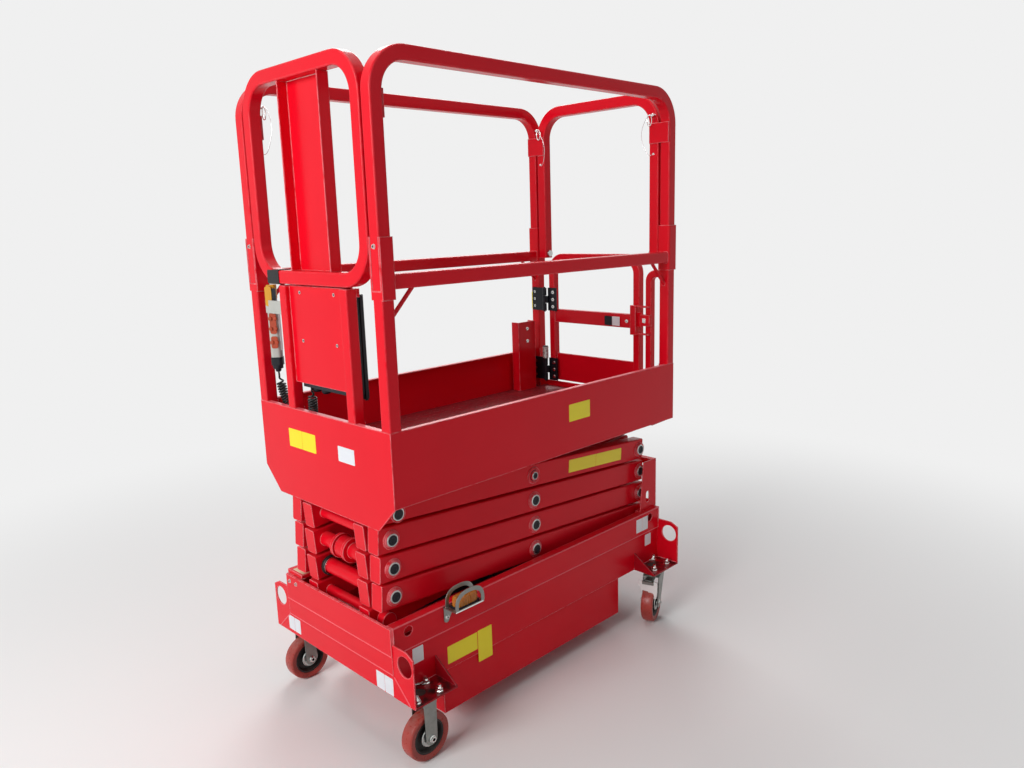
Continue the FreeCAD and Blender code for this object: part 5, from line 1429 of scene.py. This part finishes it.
@dataclass
class FrontEnd:
    """Folding loop, panel, ridged box, hand control and its curly cord."""

    pendant_x: float = -637 * MM
    pendant_y: float = 266 * MM
    pendant_low: float = 1108 * MM
    pendant_size: Pair = mm(30, 34)
    pendant_turn: float = 45.0
    box_low: Triple = mm(-643, -140, 1080)
    box_high: Triple = mm(-577, 112, 1364)
    flank_low: float = 1060 * MM
    box_rib: float = 3.5 * MM
    flank_ribs: int = 3
    inner_ribs: int = 13
    panel_recess: float = 18 * MM
    strap_y: float = 163 * MM
    curl: float = 12.5 * MM
    wire: float = 3.0 * MM
    pitch: float = 8.6 * MM
    stretch: float = 2.0
    opening: float = 1.25
    lead: float = 8 * MM
    steps: int = 12
    route: tuple[Triple, ...] = (
        (-0.637, 0.266, 1.108), (-0.636, 0.259, 1.062), (-0.629, 0.236, 0.999), (-0.618, 0.192, 0.956),
        (-0.613, 0.142, 0.944), (-0.621, 0.106, 0.972), (-0.628, 0.090, 1.024), (-0.630, 0.088, 1.082))

    def build(self) -> None:
        """Dress the front end and build its small pieces."""
        dress("front_loop", RED, trim=PINS.trim)
        dress("front_column", RED)
        dress("front_panel", RED)
        dress("pendant_clip", GREY_CASE, 0.6 * MM)
        self.ridged_box()
        self.panel_bolts()
        self.strap()
        self.pendant()
        self.curly_cord()

    def ridged_box(self) -> None:
        """Moulded box behind the panel, ridged on its flank and its inner face, with cable glands below."""
        low, high = Vector(self.box_low), Vector(self.box_high)
        middle = (low + high) / 2
        piece = Piece("ridged_box")
        shell = rounded(high.x - low.x, high.y - low.y, 5 * MM)
        piece.slab(BLACK_NYLON, shell, (middle.x, middle.y, low.z), X_AXIS, Y_AXIS, high.z - low.z)
        rib = self.box_rib
        for k in range(self.flank_ribs):
            x = low.x + (12 + 19 * k) * MM
            piece.block(BLACK_NYLON, (x, low.y - rib, self.flank_low),
                        (x + 9 * MM, low.y + 4 * MM, high.z - 2 * MM))
        piece.block(BLACK_NYLON, (low.x + 1 * MM, low.y + 2 * MM, self.flank_low + 4 * MM),
                    (high.x, low.y + 6 * MM, low.z + 2 * MM))
        for k in range(self.inner_ribs):
            y = low.y + (8 + 18.6 * k) * MM
            piece.block(BLACK_NYLON, (high.x - 1 * MM, y, low.z + 10 * MM),
                        (high.x + rib, y + 9 * MM, high.z - 8 * MM))
        for y in mm(88, 36):
            gland = mm((0, 0), (13, 0), (15, -3), (15, -13), (11, -19), (0, -19))
            piece.turned(BLACK_NYLON, gland, (middle.x, y, low.z), Z_AXIS, 28)
        piece.done("platform", 1.0 * MM, ["junction_box"], "black_plastic")

    def panel_bolts(self) -> None:
        """Four screws of the panel."""
        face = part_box("front_panel")[0].x + self.panel_recess
        for y in mm(80, -100):
            for z in mm(1366, 1223):
                BOLTS.add("platform", M6, (face, y, z), -X_AXIS)

    def strap(self) -> None:
        """Black sleeve on the loop's bottom rail beside the panel post."""
        low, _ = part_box("front_loop")
        piece = Piece("rail_strap")
        rings = []
        for offset, grow in ((0, 0.4), (0, 2.2), (66, 2.2), (66, 0.4)):
            outline = rounded((40 + 2 * grow) * MM, (40 + 2 * grow) * MM, 6 * MM, 4)
            rings.append([(low.x + 20 * MM + a, self.strap_y + offset * MM, low.z + 20 * MM + b) for a,
                          b in outline])
        piece.skin(rings, BLACK_RUBBER, True)
        piece.done("front_loop", 0.5 * MM)

    def pendant(self) -> None:
        """Hand control: yellow head, grey body with two rows of keys, black gland below."""
        depth, width = self.pendant_size
        x, y, low = self.pendant_x, self.pendant_y, self.pendant_low
        face = x - depth / 2
        piece = Piece("hand_control")
        for finish, z0, z1, grow in ((BLACK_NYLON, 22, 47, 3), (GREY_CASE, 47, 206, 0),
                                     (BLACK_NYLON, 206, 214, -10),
                                     (GREY_CASE, 214, 232, -6), (YELLOW_CASE, 232, 274, -4)):
            outline = rounded(depth + grow * MM, width + grow * MM, 11 * MM, 6)
            piece.slab(finish, outline, (x, y, low + z0 * MM), X_AXIS, Y_AXIS, (z1 - z0) * MM)
        for finish, size, place, across, thickness in (
                (YELLOW_CASE, mm(20, 62, 8), (face + 1 * MM, y + 6 * MM, low + 240 * MM), -Y_AXIS, 7),
                (BLACK_NYLON, mm(11, 40, 4), (face + 1 * MM, y - 11 * MM, low + 244 * MM), -Y_AXIS, 6),
                (WHITE_FILM, (depth * 0.7, *mm(120, 4)), (x, y - width / 2 + 0.3 * MM, low + 128 * MM), X_AXIS,
                 0.8)):
            piece.slab(finish, rounded(*size), place, across, Z_AXIS, thickness * MM)
        for z0, z1 in ((76, 114), (122, 188)):
            piece.slab(ORANGE_KEYS, rounded(width * 0.62, (z1 - z0) * MM, 6 * MM, 4),
                       (face + 0.5 * MM, y, low + (z0 + z1) / 2 * MM), -Y_AXIS, Z_AXIS, 2.0 * MM)
        key = mm((0, 0), (6.5, 0), (6.5, 3), (5, 4.4), (0, 4.8))
        for k in (-0.5, 0.5):
            for z in (95, 138, 170):
                piece.turned(ORANGE_KEYS, key, (face - 1 * MM, y + k * 15 * MM, low + z * MM), -X_AXIS, 20)
        gland = mm((0, 0), (7, 0), (9, 4), (9, 8), (16, 11), (16, 22), (0, 22))
        piece.turned(BLACK_NYLON, gland, (x, y, low), Z_AXIS, 24)
        bmesh.ops.rotate(piece.shape, cent=(x, y, 0), verts=piece.shape.verts,
                         matrix=Matrix.Rotation(math.radians(self.pendant_turn), 3, "Z"))
        piece.done("platform", 1.6 * MM, ["pendant"], "yellow_plastic")

    def curly_cord(self) -> None:
        """Coiled cord along its route, from the hand control down and up to the ridged box."""
        helix = self.helix(traced(self.route, 24))
        thing = strand("curly_cord_coiled", helix, self.wire, 3, 2, BLACK_RUBBER)
        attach(thing, "platform")
        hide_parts("curly_cord")

    def helix(self, line: Sequence[Vector]) -> list[Vector]:
        """Points of a coil round a line.

        Args:
            line: Close points of the route.

        Returns:
            Points of the wire's own centre line, straight for a little at both ends.
        """
        reach = [0.0]
        for a, b in zip(line, line[1:]):
            reach.append(reach[-1] + (b - a).length)
        total, lead, opening = reach[-1], self.lead, self.opening
        turns = int((total - 2 * lead - 2 * opening * self.stretch * self.pitch) / self.pitch + 2 * opening)
        side = (line[1] - line[0]).normalized().orthogonal().normalized()
        points, span = [line[0].copy()], 0
        last = turns * self.steps
        ramps = [min(1.0, min(step, last - step) / (opening * self.steps)) for step in range(last + 1)]
        strides = [0.0] + [1 + self.stretch * (2 - a - b) for a, b in zip(ramps, ramps[1:])]
        target = lead
        for step in range(last + 1):
            target += (total - 2 * lead) * strides[step] / sum(strides)
            while span < len(reach) - 2 and reach[span + 1] < target:
                span += 1
            along = (line[span + 1] - line[span]).normalized()
            place = line[span] + along * (target - reach[span])
            side = (side - along * side.dot(along)).normalized()
            angle = 2 * math.pi * step / self.steps
            grow = ramps[step] ** 2 * (3 - 2 * ramps[step])
            points.append(place + (side * math.cos(angle) + along.cross(side) * math.sin(angle)) * self.curl * grow)
        points.append(line[-1].copy())
        return points


@dataclass
class GateEnd:
    """Gate with its hinges and latch, and the folding frame above it."""

    hinge_x: float = 613 * MM
    hinge_y: float = 262 * MM
    hinge_z: Pair = mm(1228, 930)
    leaf_faces: tuple[Pair, Pair] = mm((622, 322), (622, 222))
    spring: Pair = mm(10.5, 44)
    spring_rise: float = 48 * MM
    spring_turns: float = 15.0

    def build(self) -> None:
        """Dress the gate end."""
        for node in ("gate_frame", "gate_latch"):
            dress(node, RED)
        dress("rear_frame", RED, trim=PINS.trim)
        for node in ("gate_hinges_fixed", "gate_hinges_moving"):
            dress(node, BLACK_NYLON, 0.8 * MM)
        dress("rear_pivots", ZINC, 0.6 * MM)
        self.hinge_screws()
        self.hinge_spring()
        self.latch()
        self.bar_label()

    def hinge_screws(self) -> None:
        """Bright screws in both leaves of both hinges."""
        for z in self.hinge_z:
            for dz in mm(-30, 0, 30):
                for body, leaf in zip(("platform", "gate"), self.leaf_faces):
                    BOLTS.add(body, M6, (*leaf, z + dz), -X_AXIS)

    def hinge_spring(self) -> None:
        """Closed coil spring with an end cap above the lower hinge."""
        radius, height = self.spring
        seat = Vector((self.hinge_x, self.hinge_y, self.hinge_z[1] + self.spring_rise))
        patterned("hinge_spring", Pattern.SPRING, [seat], [], "platform", ZINC, Turns=self.spring_turns,
                  Coil_Radius=radius,
                  Height=height, Wire_Radius=1.9 * MM)
        cap = Piece("hinge_spring_cap")
        cap.turned(ZINC, [(0, 0), (radius + 2.2 * MM, 0), (radius + 2.2 * MM, 3 * MM), (radius, 4.5 * MM),
                          (0, 4.5 * MM)],
                   seat + Vector((0, 0, height)), Z_AXIS, 32)
        cap.done("platform")

    def latch(self) -> None:
        """Latch case between two lugs that reach in front of the gate post, with its bright tongue."""
        low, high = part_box("gate_latch")
        piece = Piece("latch_case")
        x0, x1, y = low.x + 3 * MM, low.x + 20 * MM, low.y
        piece.block(RED, (x0, y - 62 * MM, low.z + 37 * MM), (x1, y - 17 * MM, high.z - 34 * MM))
        piece.block(RED, (x1 - 5 * MM, y - 20 * MM, low.z + 30 * MM), (x1, y + 4 * MM, high.z - 27 * MM))
        for z in (low.z + 1 * MM, high.z - 8 * MM):
            piece.block(RED, (x0 + 3 * MM, y - 54 * MM, z), (x1, y + 4 * MM, z + 7 * MM))
        piece.block(BRIGHT_ZINC, (x0 - 2 * MM, y - 44 * MM, low.z + 49 * MM),
                    (x0 + 1 * MM, y - 30 * MM, low.z + 66 * MM))
        piece.done("gate", 1.4 * MM)

    def bar_label(self) -> None:
        """Dark and white blank films and a bolt on the gate's bar, a yellow film beside the upper hinge."""
        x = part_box("gate_frame")[0].x
        spot = Piece("bar_label")
        for finish, y in ((BLACK_NYLON, -63 * MM), (WHITE_FILM, -101 * MM)):
            spot.slab(finish, rounded(37 * MM, 36 * MM, 2 * MM, 3), (x, y, 1157 * MM), -Y_AXIS, Z_AXIS, 0.4 * MM)
        spot.done("gate")
        BOLTS.add("gate", M6, (x, -154 * MM, 1160 * MM), -X_AXIS)
        label("upper_hinge_label", "platform", mm(625, 342.4, 1219), -Y_AXIS, Z_AXIS, mm(9.4, 74),
              YELLOW_FILM)


def seen_ray(tree: Tree) -> Socket:
    """One where the camera, a mirror or glass looks, none where light only spreads."""
    ray = add_node(tree, "ShaderNodeLightPath").outputs
    mirrored = add_node(tree, "ShaderNodeMath", {0: ray["Is Glossy Ray"], 1: ray["Is Transmission Ray"]},
                        operation="MAXIMUM").outputs["Value"]
    return add_node(tree, "ShaderNodeMath", {0: ray["Is Camera Ray"], 1: mirrored},
                    operation="MAXIMUM").outputs["Value"]


@dataclass
class Studio:
    """Camera at the photograph's place, pale floor, soft lamps."""

    place: Triple = (-1.8873, -2.0341, 1.5496)
    right: Triple = (0.70342, -0.71018, -0.02922)
    up: Triple = (0.16034, 0.11850, 0.97993)
    lens: float = 28.21
    sensor: float = 36.0
    ambient: float = 0.15
    floor_half: float = 14.0
    floor_colour: str = "#F0EFEE"
    surround: str = "#F0F0F0"
    fade: Pair = (0.9, 3.6)
    # Name, place, height that it looks at, size and power of each lamp.
    lamps: tuple[tuple, ...] = (
        ("key", (-4.6, -0.4, 2.8), 0.9, 2.4, 178), ("side", (0.8, -4.2, 3.0), 0.9, 1.6, 9),
        ("back", (2.8, 3.4, 3.8), 1.0, 2.6, 110), ("top", (0.0, 0.4, 5.2), 1.0, 3.0, 60))

    def build(self) -> None:
        """Set camera, floor, world and lamps."""
        scene = bpy.context.scene
        scene.view_settings.view_transform = "Standard"
        camera = bpy.data.cameras.new("camera")
        camera.lens, camera.sensor_width = self.lens, self.sensor
        camera.clip_start, camera.clip_end = 0.05, 100.0
        stand = link("camera", camera)
        right, up = Vector(self.right), Vector(self.up)
        turn = Matrix((right, up, right.cross(up))).transposed().to_4x4()
        stand.matrix_world = Matrix.Translation(self.place) @ turn
        scene.camera = stand
        self.floor()
        self.world()
        for settings in self.lamps:
            self.lamp(*settings)

    def floor(self) -> None:
        """Pale floor that fades to the surround's white away from the object."""
        half = self.floor_half
        mesh = bpy.data.meshes.new("floor")
        mesh.from_pydata([(-half, -half, 0), (half, -half, 0), (half, half, 0), (-half, half, 0)], [],
                         [(0, 1, 2, 3)])
        made = bpy.data.materials.new("matt_floor_sheet")
        made.use_nodes = True
        tree = made.node_tree
        tree.nodes.clear()
        place = add_node(tree, "ShaderNodeTexCoord").outputs["Object"]
        reach = add_node(tree, "ShaderNodeVectorMath", {0: place}, operation="LENGTH").outputs["Value"]
        fade = add_node(tree, "ShaderNodeMapRange", {"Value": reach, "From Min": self.fade[0],
                                                     "From Max": self.fade[1]},
                        interpolation_type="SMOOTHSTEP").outputs["Result"]
        share = add_node(tree, "ShaderNodeMath", {0: fade, 1: seen_ray(tree)},
                         operation="MULTIPLY").outputs["Value"]
        sheet = add_node(tree, "ShaderNodeBsdfDiffuse", {"Color": linear(self.floor_colour)}).outputs["BSDF"]
        white = add_node(tree, "ShaderNodeEmission", {"Color": linear(self.surround), "Strength": 1.0})
        mixed = add_node(tree, "ShaderNodeMixShader", {0: share, 1: sheet, 2: white.outputs["Emission"]})
        add_node(tree, "ShaderNodeOutputMaterial", {"Surface": mixed.outputs["Shader"]})
        mesh.materials.append(made)
        link("floor", mesh)

    def world(self) -> None:
        """Even pale surround, white where the camera or a mirror sees it."""
        world = bpy.data.worlds.new("surround")
        bpy.context.scene.world = world
        world.use_nodes = True
        tree = world.node_tree
        tree.nodes.clear()
        soft = add_node(tree, "ShaderNodeBackground", {"Color": linear("#F4F6FA"), "Strength": self.ambient})
        white = add_node(tree, "ShaderNodeBackground", {"Color": linear(self.surround), "Strength": 1.0})
        mixed = add_node(tree, "ShaderNodeMixShader", {0: seen_ray(tree), 1: soft.outputs["Background"],
                                                       2: white.outputs["Background"]}).outputs["Shader"]
        add_node(tree, "ShaderNodeOutputWorld", {"Surface": mixed})

    def lamp(self, name: str, place: Point, height: float, size: float, power: float) -> None:
        """Soft square lamp that looks at the machine.

        Args:
            name: Name of the lamp.
            place: Its middle.
            height: Height on the machine's axis that it looks at.
            size: Length of its sides.
            power: Power in watts.
        """
        data = bpy.data.lights.new(name, "AREA")
        data.size, data.energy = size, power
        thing = link(name, data)
        thing.location = place
        aim: Quaternion = (Vector((0, 0, height)) - Vector(place)).to_track_quat("-Z", "Y")
        thing.rotation_mode = "QUATERNION"
        thing.rotation_quaternion = aim


def main() -> None:
    """Build the sub-assemblies in order and note the sizes."""
    logging.basicConfig(level=logging.INFO, format="%(name)s: %(message)s")
    for part in (Studio(), FrontEnd(), PINS, Chassis(), Casters(), ScissorStack(), Platform(), GateEnd()):
        part.build()
        LOG.info("%s built", type(part).__name__)
    BOLTS.bake()


if __name__ == "__main__":
    main()
